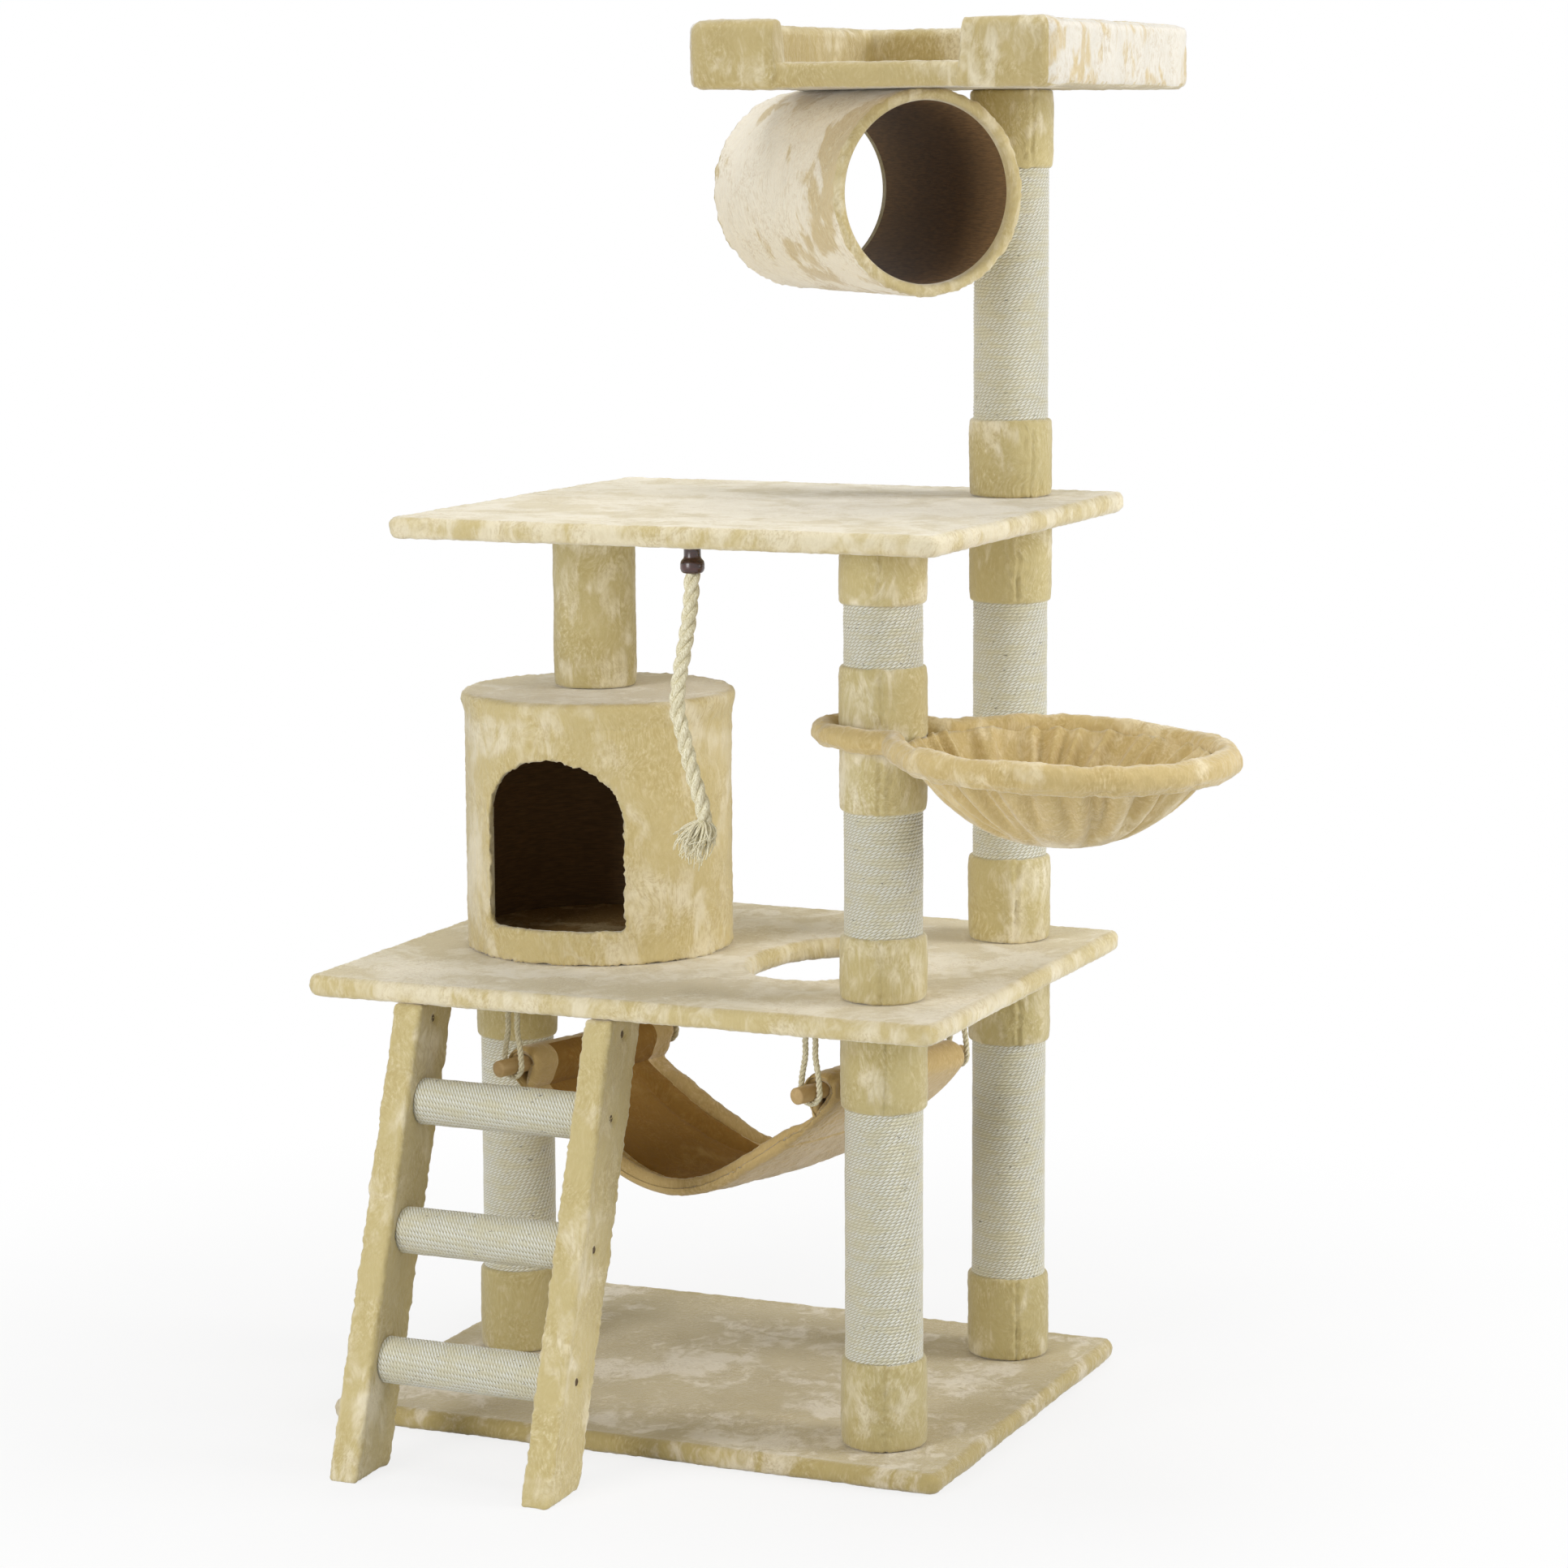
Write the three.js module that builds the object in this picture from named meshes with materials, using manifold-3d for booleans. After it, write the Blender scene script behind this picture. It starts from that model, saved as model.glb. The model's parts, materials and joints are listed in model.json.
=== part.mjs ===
// Cat tree: plush-wrapped boards on posts wound with sisal, with a round condo, a tunnel slung under a top
// tray, a swivelling wire-hoop basket, a swinging hammock, a leaning ladder and a hanging rope toy.
// Millimetres, +Z up. The origin is the centre of the base board's underside; -Y is the ladder side.
import * as THREE from 'three';
import { mergeVertices } from 'three/addons/utils/BufferGeometryUtils.js';
import Module from 'manifold-3d';

const wasm = await Module();
wasm.setup();

// ---------------------------------------------------------------- clearances
const seatGap = 0.3;
const boltGap = 0.5;
const swivelGap = 0.8;
const dowelGap = 0.4;
const deep = 400;

// ---------------------------------------------------------------- boards and levels
const boardThickness = 23;
const boardEdge = 8;
const boardCorner = 20;
const lowerLevel = 477;
const upperLevel = 495;
const topLevel = 462;
const base = { x: 0, y: 0, width: 742, depth: 584, z: 0 };
// A board above the base, from how far each of its edges stands out past the base's edge.
const shelf = (out, z) => ({
  x: base.x + (out.right - out.left) / 2,
  y: base.y + (out.back - out.front) / 2,
  width: base.width + out.left + out.right,
  depth: base.depth + out.front + out.back,
  z,
});
const middle = shelf({ left: 3, right: 7, front: 32, back: -8 }, base.z + boardThickness + lowerLevel);
const upper = shelf(
  { left: -106.5, right: 9.5, front: 28, back: -8 }, middle.z + boardThickness + upperLevel,
);
const hole = { x: middle.x + 129, y: middle.y + 10, halfWidth: 85, halfDepth: 131 };
const perchFloor = 18;
const perchWall = 30;
const perchCorner = 16;
const perchLip = 27;
const perchOpening = 212;

// ---------------------------------------------------------------- posts
const coreRadius = 38.5;
const coreWall = 4;
const plugThickness = 18;
const sisalThickness = 4.6;
const sleeveThickness = 8.5;
const sleeveRadius = coreRadius + sleeveThickness;
const studRadius = 4;
const studGrip = 14;
const boltHead = { radius: 10, height: 4 };
const lowerSleeve = 99;
const topSleeve = 89;
const frontPost = { x: base.width / 2 - 99.5, y: 97 - base.depth / 2 };
const backRightPost = { x: base.width / 2 - 99, y: base.depth / 2 - 98 };
const backLeftPost = { x: 93 - base.width / 2, y: 3.5 };
const frontFootSleeve = 72;
const frontHeadSleeve = 63;
const basketSleeve = 159;
const sisalAboveBasket = 66;

// ---------------------------------------------------------------- top tray
const perch = {
  x: backRightPost.x - 27, y: backRightPost.y - 139, width: 413, depth: 466, height: 71,
  z: upper.z + boardThickness + topLevel,
};

// ---------------------------------------------------------------- condo
const condo = { x: backLeftPost.x + 119.5, y: -13.5, radius: 154, wall: 12, height: 299 };
const condoPost = { x: condo.x - 14.5, y: condo.y + 23.5 };
const condoRoof = { overhang: 4, thickness: 18, edge: 7 };
const condoFloor = 32;
const door = { width: 158, sill: 40, shoulder: 167, rise: 65, turn: 3.6 };

// ---------------------------------------------------------------- tunnel
const tunnel = {
  x: perch.x - 88.5, y: perch.y - 21, radius: 112, wall: 13, length: 347, turn: 46.6, rim: 5,
};

// ---------------------------------------------------------------- ladder
const ladder = { x: -129.5, spacing: 234, footRun: 170 };
const rail = { width: 33, depth: 80, edge: 5 };
const rung = { radius: 26, first: 119.5, pitch: 136, count: 3 };
const rungPin = { radius: 4, length: 20 };
const ladderScrewDrop = 20;

// ---------------------------------------------------------------- basket
const basket = { radius: 175, reach: 209, height: 815, heading: -4.3, droop: 2.5, bowlDepth: 90 };
const hemRadius = 16;
const wireRadius = 3;
const wireGap = 0.4;
const hemSlot = 1.2;
const loopRadius = sleeveRadius + swivelGap + hemRadius;
const neckFillet = 20;
const bowlCloth = 7;

// ---------------------------------------------------------------- hammock
const hammock = {
  x: frontPost.x - 273.5, y: frontPost.y - 32, spacing: 366, lean: 17, dowelHeight: 412, sag: 132, cloth: 10,
};
const dowel = { radius: 9.5, length: 310, overhang: 38 };
const hammockSleeve = 5.5;
const loopRope = 3;
const loopInset = 24;
const hookRadius = 2.5;
const hookDrop = 11;

// ---------------------------------------------------------------- rope toy
const toy = {
  x: upper.x + 27, y: upper.y - 261, capHeight: 29, capRadius: 13.5, neckRadius: 9.5, ropeRadius: 8.5,
};
const toyMouth = 4;
const toyInsert = 5;
const toyRoute = [
  [0, 0, toyInsert], [0, 0, -8], [0, 0, -22], [-1, 0, -45], [-3, -1, -70], [-7, -3, -90], [-11.5, -5, -105],
  [-14, -6, -120], [-13.5, -6, -138], [-11, -5, -156], [-6.5, -3, -178], [-1, 0, -200],
  [4, 2, -222], [7.5, 3, -243], [8, 3.5, -262], [5, 2, -280], [0, 0, -297], [-3.5, -1.5, -307],
];

// ---------------------------------------------------------------- facets
const roundSides = 20;
const wideSides = 32;
const boltSides = 10;

// ---------------------------------------------------------------- materials
const finish = (color, roughness, metalness = 0) => (
  () => new THREE.MeshStandardMaterial({ color, roughness, metalness })
);
const plush = finish(0xe6cfa2, 0.95);
const sisal = finish(0xe4dcb8, 0.9);
const cardboard = finish(0xb08d5f, 0.9);
const wood = finish(0xc9a673, 0.7);
const darkWood = finish(0x3a1b17, 0.45);
const steel = finish(0xa9abad, 0.35, 0.9);
const cotton = finish(0xe9e0c4, 0.9);

// ---------------------------------------------------------------- shared helpers
const tree = new THREE.Group();
const radians = THREE.MathUtils.degToRad;

function addPiece(name, geometry, material, parent = tree) {
  const mesh = new THREE.Mesh(geometry, material());
  mesh.name = name;
  parent.add(mesh);
  return mesh;
}

function toSolid(geometry) {
  const bare = geometry.clone();
  bare.deleteAttribute('normal');
  bare.deleteAttribute('uv');
  const welded = mergeVertices(bare, 1e-4);
  const { position } = welded.attributes;
  const triangles = [];
  for (let i = 0; i < welded.index.count; i += 3) {
    const corner = [0, 1, 2].map((k) => welded.index.getX(i + k));
    if (new Set(corner).size === 3) triangles.push(...corner);
  }
  return new wasm.Manifold(new wasm.Mesh({
    numProp: 3,
    vertProperties: new Float32Array(position.array),
    triVerts: new Uint32Array(triangles),
  }));
}

function toGeometry(solid) {
  const mesh = solid.getMesh();
  const geometry = new THREE.BufferGeometry();
  geometry.setAttribute('position', new THREE.BufferAttribute(mesh.vertProperties.slice(), 3));
  geometry.setIndex(new THREE.BufferAttribute(mesh.triVerts.slice(), 1));
  return geometry;
}

function cutFrom(geometry, cutters) {
  return toGeometry(cutters.reduce((solid, cutter) => solid.subtract(toSolid(cutter)), toSolid(geometry)));
}

// A revolved solid about +Z from [radius, height] pairs, run so that its faces point out.
function revolve(profile, sides = roundSides) {
  const points = profile.map(([radius, height]) => new THREE.Vector2(radius, height));
  return new THREE.LatheGeometry(points, sides).rotateX(Math.PI / 2);
}

function tubeProfile(inner, outer, z0, z1) {
  return [[inner, z0], [outer, z0], [outer, z1], [inner, z1], [inner, z0]];
}

function pegCutter(x, y, z0, z1, radius, sides = boltSides) {
  return new THREE.CylinderGeometry(radius, radius, z1 - z0, sides)
    .rotateX(Math.PI / 2)
    .translate(x, y, (z0 + z1) / 2);
}

function roundedRectangle(width, depth, corner) {
  const shape = new THREE.Shape();
  const x = width / 2 - corner;
  const y = depth / 2 - corner;
  shape.absarc(x, -y, corner, -Math.PI / 2, 0);
  shape.absarc(x, y, corner, 0, Math.PI / 2);
  shape.absarc(-x, y, corner, Math.PI / 2, Math.PI);
  shape.absarc(-x, -y, corner, Math.PI, 1.5 * Math.PI);
  return shape;
}

// A plate of the given full thickness whose upper and lower rims are rounded over by edge.
function roundedPlate(shape, thickness, edge) {
  return new THREE.ExtrudeGeometry(shape, {
    depth: thickness - 2 * edge,
    bevelThickness: edge,
    bevelSize: edge,
    bevelOffset: -edge,
    bevelSegments: 2,
    curveSegments: 4,
  }).translate(0, 0, edge);
}

// ---------------------------------------------------------------- boards
function boardPlate(board, opening) {
  const shape = roundedRectangle(board.width, board.depth, boardCorner);
  if (opening) {
    const rim = new THREE.EllipseCurve(
      opening.x - board.x, opening.y - board.y, opening.halfWidth, opening.halfDepth,
    );
    shape.holes.push(new THREE.Path(rim.getPoints(24)));
  }
  return roundedPlate(shape, boardThickness, boardEdge).translate(board.x, board.y, board.z);
}

const throughHole = (post, board) => pegCutter(
  post.x, post.y, board.z - deep, board.z + boardThickness + deep, studRadius + boltGap,
);
const blindHole = (post, z) => pegCutter(post.x, post.y, z - deep, z + studGrip + 1, studRadius + boltGap);
const headRecess = (post, board) => pegCutter(
  post.x, post.y, board.z - deep, board.z + boltHead.height + 2, boltHead.radius + 2, 16,
);

const lowerPosts = [frontPost, backRightPost, backLeftPost];
addPiece('base_board', cutFrom(boardPlate(base), [
  ...lowerPosts.map((post) => throughHole(post, base)),
  ...lowerPosts.map((post) => headRecess(post, base)),
]), plush);
addPiece('middle_board', cutFrom(boardPlate(middle, hole), [
  throughHole(frontPost, middle),
  throughHole(backRightPost, middle),
  blindHole(backLeftPost, middle.z),
]), plush);
addPiece('upper_board', cutFrom(boardPlate(upper), [
  blindHole(frontPost, upper.z),
  throughHole(backRightPost, upper),
  blindHole(condoPost, upper.z),
]), plush);

// ---------------------------------------------------------------- posts
// A cardboard tube with a bored plug at its foot and a plug with a threaded stud at its head.
function addCore(name, post, z0, z1, studLength) {
  const foot = z0 + seatGap;
  const head = z1 - seatGap;
  const bore = studRadius + boltGap;
  const inside = coreRadius - coreWall;
  addPiece(`${name}_core`, revolve([
    [0, head - plugThickness], [inside, head - plugThickness], [inside, foot + plugThickness],
    [bore, foot + plugThickness], [bore, foot], [coreRadius, foot], [coreRadius, head],
    [studRadius, head], [studRadius, head + studLength], [0, head + studLength],
  ]), cardboard).position.set(post.x, post.y, 0);
}

// Bands wrap the core from its foot up: plush sleeves and sisal windings. One band has no height of its
// own and takes what the others leave.
function addPost(name, post, z0, z1, studLength, bands) {
  addCore(name, post, z0, z1, studLength);
  const given = bands.reduce((sum, band) => sum + (band.height ?? 0), 0);
  let z = z0;
  for (const band of bands) {
    const height = band.height ?? z1 - z0 - given;
    const outer = coreRadius + (band.wrap === plush ? sleeveThickness : sisalThickness);
    const profile = tubeProfile(coreRadius + seatGap, outer, z + seatGap / 2, z + height - seatGap / 2);
    addPiece(`${name}_${band.name}`, revolve(profile), band.wrap).position.set(post.x, post.y, 0);
    z += height;
  }
}

const endSleeves = (height) => [
  { name: 'sleeve_bottom', wrap: plush, height },
  { name: 'sisal', wrap: sisal },
  { name: 'sleeve_top', wrap: plush, height },
];
const throughStud = boardThickness + 2 * seatGap + studGrip;
const baseTop = base.z + boardThickness;
const middleTop = middle.z + boardThickness;
const upperTop = upper.z + boardThickness;
const roofTop = middleTop + condo.height;

addPost('front_lower', frontPost, baseTop, middle.z, throughStud, endSleeves(lowerSleeve));
addPost('back_right_lower', backRightPost, baseTop, middle.z, throughStud, endSleeves(lowerSleeve));
addPost('back_left_lower', backLeftPost, baseTop, middle.z, studGrip, endSleeves(lowerSleeve));
addPost('front_upper', frontPost, middleTop, upper.z, studGrip, [
  { name: 'sleeve_bottom', wrap: plush, height: frontFootSleeve },
  { name: 'sisal_below', wrap: sisal },
  { name: 'sleeve_middle', wrap: plush, height: basketSleeve },
  { name: 'sisal_above', wrap: sisal, height: sisalAboveBasket },
  { name: 'sleeve_top', wrap: plush, height: frontHeadSleeve },
]);
addPost('back_right_middle', backRightPost, middleTop, upper.z, throughStud, endSleeves(lowerSleeve));
addPost('back_right_top', backRightPost, upperTop, perch.z, studGrip, endSleeves(topSleeve));
addPost('condo_post', condoPost, roofTop, upper.z, studGrip, [{ name: 'sleeve', wrap: plush }]);

// A bolt with its head at z, pointing up through the plate above it into a post's foot.
function addBolt(name, post, z, plate) {
  addPiece(name, revolve([
    [0, z], [boltHead.radius, z], [boltHead.radius, z + boltHead.height],
    [studRadius, z + boltHead.height], [studRadius, z + boltHead.height + plate + studGrip],
    [0, z + boltHead.height + plate + studGrip],
  ], 12), steel).position.set(post.x, post.y, 0);
}
const recessedHead = base.z + 2 - seatGap;
const besideRecess = boardThickness - boltHead.height - 2;
addBolt('front_base_bolt', frontPost, recessedHead, besideRecess);
addBolt('back_right_base_bolt', backRightPost, recessedHead, besideRecess);
addBolt('back_left_base_bolt', backLeftPost, recessedHead, besideRecess);

// ---------------------------------------------------------------- condo
function doorCutter() {
  const shape = new THREE.Shape();
  const half = door.width / 2;
  shape.moveTo(-half, door.sill);
  shape.lineTo(half, door.sill);
  shape.lineTo(half, door.shoulder);
  shape.absellipse(0, door.shoulder, half, door.rise, 0, Math.PI);
  return new THREE.ExtrudeGeometry(shape, { depth: condo.radius, bevelEnabled: false, curveSegments: 8 })
    .rotateX(Math.PI / 2)
    .translate(0, -condo.radius / 4, 0)
    .rotateZ(radians(door.turn));
}

const condoGroup = new THREE.Group();
condoGroup.position.set(condo.x, condo.y, middleTop);
tree.add(condoGroup);
const condoInside = condo.radius - condo.wall;
const roofUnder = condo.height - condoRoof.thickness;
addPiece('condo_wall', cutFrom(
  revolve(tubeProfile(condoInside, condo.radius, seatGap, roofUnder - seatGap), wideSides),
  [doorCutter()],
), plush, condoGroup);
addPiece('condo_floor', revolve([
  [0, seatGap], [condoInside - seatGap, seatGap], [condoInside - seatGap, condoFloor - 6],
  [condoInside - 6, condoFloor], [0, condoFloor],
], wideSides), plush, condoGroup);

const roofRadius = condo.radius + condoRoof.overhang;
addPiece('condo_roof', cutFrom(revolve([
  [0, roofUnder], [roofRadius - condoRoof.edge, roofUnder], [roofRadius, roofUnder + condoRoof.edge],
  [roofRadius, condo.height - condoRoof.edge], [roofRadius - condoRoof.edge, condo.height],
  [0, condo.height],
], wideSides), [pegCutter(
  condoPost.x - condo.x, condoPost.y - condo.y, 0, deep, studRadius + boltGap,
)]), plush, condoGroup);
addBolt('condo_roof_bolt', condoPost, roofTop - condoRoof.thickness - seatGap - boltHead.height,
  condoRoof.thickness + seatGap);

// ---------------------------------------------------------------- top tray
function perchTray() {
  const outer = roundedPlate(
    roundedRectangle(perch.width, perch.depth, perchCorner), perch.height, boardEdge,
  );
  const pocket = new THREE.ExtrudeGeometry(
    roundedRectangle(perch.width - 2 * perchWall, perch.depth - 2 * perchWall, perchCorner),
    { depth: perch.height, bevelEnabled: false, curveSegments: 4 },
  ).translate(0, 0, perchFloor);
  const opening = new THREE.BoxGeometry(perchOpening, 2 * perchWall, perch.height)
    .translate(0, -perch.depth / 2, perchLip + perch.height / 2);
  const socket = pegCutter(
    backRightPost.x - perch.x, backRightPost.y - perch.y, -deep, studGrip + 1, studRadius + boltGap,
  );
  return cutFrom(outer, [pocket, opening, socket]);
}
addPiece('perch_tray', perchTray(), plush).position.set(perch.x, perch.y, perch.z);

// ---------------------------------------------------------------- tunnel
function tunnelTube() {
  const outer = tunnel.radius;
  const inner = tunnel.radius - tunnel.wall;
  const half = tunnel.length / 2;
  const near = half - tunnel.rim;
  const profile = [
    [inner, -near], [inner + tunnel.rim, -half], [outer - tunnel.rim, -half], [outer, -near],
    [outer, near], [outer - tunnel.rim, half], [inner + tunnel.rim, half], [inner, near], [inner, -near],
  ];
  return revolve(profile, wideSides).rotateX(Math.PI / 2).rotateZ(radians(tunnel.turn));
}
addPiece('tunnel', tunnelTube(), plush)
  .position.set(tunnel.x, tunnel.y, perch.z - seatGap - tunnel.radius);

// ---------------------------------------------------------------- ladder
const railTop = middle.z - seatGap;
const railFrontTop = middle.y - middle.depth / 2;
const railLean = ladder.footRun / railTop;
const railCentre = (z) => railFrontTop + rail.depth / 2 - ladder.footRun + railLean * z;
const rungHeights = Array.from({ length: rung.count }, (_, i) => rung.first + i * rung.pitch);

function ladderRail() {
  const front = railFrontTop - ladder.footRun;
  const shape = new THREE.Shape([
    new THREE.Vector2(front, 0),
    new THREE.Vector2(front + rail.depth, 0),
    new THREE.Vector2(railFrontTop + rail.depth, railTop),
    new THREE.Vector2(railFrontTop, railTop),
  ]);
  const axes = new THREE.Matrix4().makeBasis(
    new THREE.Vector3(0, 1, 0), new THREE.Vector3(0, 0, 1), new THREE.Vector3(1, 0, 0),
  );
  const plank = roundedPlate(shape, rail.width, rail.edge)
    .applyMatrix4(axes)
    .translate(-rail.width / 2, 0, 0);
  const screws = [...rungHeights, railTop - ladderScrewDrop].map((z) => (
    new THREE.CylinderGeometry(rungPin.radius + boltGap, rungPin.radius + boltGap, rail.width + 2, boltSides)
      .rotateZ(Math.PI / 2)
      .translate(0, railCentre(z), z)
  ));
  return cutFrom(plank, screws);
}

for (const [side, name] of [[-1, 'ladder_left_rail'], [1, 'ladder_right_rail']]) {
  addPiece(name, ladderRail(), plush).position.x = ladder.x + side * ladder.spacing / 2;
}

const rungHalf = (ladder.spacing - rail.width) / 2 - seatGap;
const rungNames = ['ladder_rung_bottom', 'ladder_rung_middle', 'ladder_rung_top'];
rungHeights.forEach((z, i) => {
  const tip = rungHalf + rungPin.length;
  addPiece(rungNames[i], revolve([
    [0, -tip], [rungPin.radius, -tip], [rungPin.radius, -rungHalf], [rung.radius, -rungHalf],
    [rung.radius, rungHalf], [rungPin.radius, rungHalf], [rungPin.radius, tip], [0, tip],
  ]).rotateY(Math.PI / 2), sisal).position.set(ladder.x, railCentre(z), z);
});

// ---------------------------------------------------------------- basket
// The wire runs round the bowl and, past two small reverse bends, round the post.
function hoopPoints() {
  const filletToBowl = basket.radius + neckFillet;
  const filletToPost = loopRadius + neckFillet;
  const atPost = Math.acos(
    (basket.reach ** 2 + filletToPost ** 2 - filletToBowl ** 2) / (2 * basket.reach * filletToPost),
  );
  const atBowl = Math.acos(
    (basket.reach ** 2 + filletToBowl ** 2 - filletToPost ** 2) / (2 * basket.reach * filletToBowl),
  );
  const neckX = filletToPost * Math.cos(atPost);
  const neckY = filletToPost * Math.sin(atPost);
  const ends = (points) => points.slice(0, -1);
  return [
    ...ends(arcPoints(0, 0, loopRadius, atPost, 2 * Math.PI - atPost, false, 16)),
    ...ends(arcPoints(neckX, -neckY, neckFillet, Math.PI - atPost, atBowl, true, 2)),
    ...ends(arcPoints(basket.reach, 0, basket.radius, atBowl - Math.PI, Math.PI - atBowl, false, 22)),
    ...ends(arcPoints(neckX, neckY, neckFillet, -atBowl, atPost - Math.PI, true, 2)),
  ];
}

const arcPoints = (x, y, radius, from, to, clockwise, steps) => (
  new THREE.EllipseCurve(x, y, radius, radius, from, to, clockwise).getPoints(steps)
);

function roundSection(radius) {
  const sides = 6;
  return Array.from({ length: sides }, (_, i) => {
    const angle = 2 * Math.PI * (i / sides);
    return [radius * Math.cos(angle), radius * Math.sin(angle)];
  });
}

// Sweeps a closed section of [outward, upward] pairs round a closed flat outline.
function sweepRound(outline, section) {
  const count = outline.length;
  const positions = [];
  const index = [];
  outline.forEach((point, i) => {
    const along = outline[(i + 1) % count].clone().sub(outline[(i + count - 1) % count]).normalize();
    for (const [out, up] of section) {
      positions.push(point.x + along.y * out, point.y - along.x * out, up);
    }
  });
  const side = section.length;
  for (let i = 0; i < count; i += 1) {
    for (let j = 0; j < side; j += 1) {
      const a = i * side + j;
      const b = i * side + (j + 1) % side;
      const c = ((i + 1) % count) * side + (j + 1) % side;
      const d = ((i + 1) % count) * side + j;
      index.push(a, d, b, b, d, c);
    }
  }
  const geometry = new THREE.BufferGeometry();
  geometry.setAttribute('position', new THREE.Float32BufferAttribute(positions, 3));
  geometry.setIndex(index);
  return geometry;
}

// The hem folds over the wire and stays open along a slot underneath.
function hemSection() {
  const arc = (radius, from, to, steps) => Array.from({ length: steps + 1 }, (_, i) => {
    const angle = from + (to - from) * (i / steps);
    return [radius * Math.cos(angle), radius * Math.sin(angle)];
  });
  const slot = (radius) => Math.asin(hemSlot / 2 / radius);
  const down = -Math.PI / 2;
  const channelSides = 5;
  const channel = (wireRadius + wireGap) / Math.cos(Math.PI / channelSides);
  return [
    ...arc(hemRadius, down + slot(hemRadius), down + 2 * Math.PI - slot(hemRadius), 6),
    ...arc(channel, down + 2 * Math.PI - slot(channel), down + slot(channel), channelSides),
  ];
}

const hoopOutline = hoopPoints();

function basketSling() {
  const rim = basket.radius - hemRadius + 4;
  const depthAt = (share) => -basket.bowlDepth * (1 - share ** 2.4);
  const shares = [0, 0.35, 0.62, 0.84, 1];
  const profile = [
    ...shares.map((share) => [rim * share + (share ? bowlCloth / 2 : 0), depthAt(share) - bowlCloth / 2]),
    ...shares.toReversed().map((share) => (
      [Math.max(0, rim * share - (share ? bowlCloth / 2 : 0)), depthAt(share) + bowlCloth / 2]
    )),
  ];
  const bowl = revolve(profile, wideSides).translate(basket.reach, 0, 0);
  const clear = pegCutter(0, 0, -deep, deep, sleeveRadius + swivelGap, wideSides)
    .rotateY(-radians(basket.droop));
  const hem = toSolid(sweepRound(hoopOutline, hemSection()));
  const post = toSolid(clear);
  return toGeometry(toSolid(bowl).subtract(post).add(hem));
}

const basketGroup = new THREE.Group();
basketGroup.position.set(frontPost.x, frontPost.y, basket.height);
basketGroup.rotation.set(0, radians(basket.droop), radians(basket.heading), 'ZYX');
tree.add(basketGroup);
addPiece('basket_frame', sweepRound(hoopOutline, roundSection(wireRadius)), steel, basketGroup);
addPiece('basket_sling', basketSling(), plush, basketGroup);

// ---------------------------------------------------------------- hammock
const lean = radians(hammock.lean);
const hammockAxis = new THREE.Vector3(Math.sin(lean), Math.cos(lean), 0);

function hammockCloth() {
  const half = hammock.spacing / 2;
  const widen = 1 / Math.cos(lean);
  const sleeve = dowel.radius + dowelGap + hammockSleeve;
  const eyeSides = 12;
  const bore = (dowel.radius + dowelGap) / Math.cos(Math.PI / eyeSides);
  const outer = half + sleeve * widen;
  const shares = [-0.84, -0.66, -0.45, -0.22, 0, 0.22, 0.45, 0.66, 0.84];
  const middleLine = (share) => -hammock.sag * (1 - share ** 2);
  const shape = new THREE.Shape();
  shape.moveTo(-outer, 0);
  shape.absellipse(-half, 0, sleeve * widen, sleeve, Math.PI, 0, true);
  shares.forEach((share) => shape.lineTo(share * half, middleLine(share) + hammock.cloth / 2));
  shape.absellipse(half, 0, sleeve * widen, sleeve, Math.PI, 0, true);
  shares.toReversed().forEach((share) => (
    shape.lineTo(share * (half + hammock.cloth / 2), middleLine(share) - hammock.cloth / 2)
  ));
  for (const side of [-1, 1]) {
    const eye = new THREE.Path();
    eye.absellipse(side * half, 0, bore * widen, bore, 0, 2 * Math.PI);
    shape.holes.push(eye);
  }
  const length = (dowel.length - 2 * dowel.overhang) * Math.cos(lean);
  const shear = new THREE.Matrix4().makeShear(0, 0, Math.tan(lean), 0, 0, 0);
  return new THREE.ExtrudeGeometry(shape, { depth: length, bevelEnabled: false, curveSegments: eyeSides / 2 })
    .rotateX(Math.PI / 2)
    .translate(0, length + dowel.overhang * Math.cos(lean), 0)
    .applyMatrix4(shear);
}
addPiece('hammock_cloth', hammockCloth(), plush)
  .position.set(hammock.x, hammock.y, hammock.dowelHeight);

// A rope loop lies like a belt round the dowel below and the hook above.
function ropeLoop(drop) {
  const below = dowel.radius + dowelGap + loopRope;
  const above = hookRadius + dowelGap + loopRope;
  const tilt = Math.asin((below - above) / drop);
  return sweepRound([
    ...arcPoints(0, 0, below, Math.PI - tilt, 2 * Math.PI + tilt, false, 9),
    ...arcPoints(0, drop, above, tilt, Math.PI - tilt, false, 5),
  ], roundSection(loopRope)).rotateX(Math.PI / 2);
}

// A cup hook: shank down from the board, then a level peg along the dowel with a turned-up tip.
function cupHook() {
  const bend = 3;
  const reach = 9;
  const path = new THREE.CurvePath();
  const at = (along, up) => new THREE.Vector3(0, along, up);
  path.add(new THREE.LineCurve3(at(-reach, hookDrop - seatGap), at(-reach, bend)));
  path.add(new THREE.QuadraticBezierCurve3(at(-reach, bend), at(-reach, 0), at(bend - reach, 0)));
  path.add(new THREE.LineCurve3(at(bend - reach, 0), at(reach - bend, 0)));
  path.add(new THREE.QuadraticBezierCurve3(at(reach - bend, 0), at(reach, 0), at(reach, bend)));
  const section = new THREE.Shape().absarc(0, 0, hookRadius, 0, 2 * Math.PI);
  return new THREE.ExtrudeGeometry(section, { steps: 8, extrudePath: path, curveSegments: 3 });
}

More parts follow.
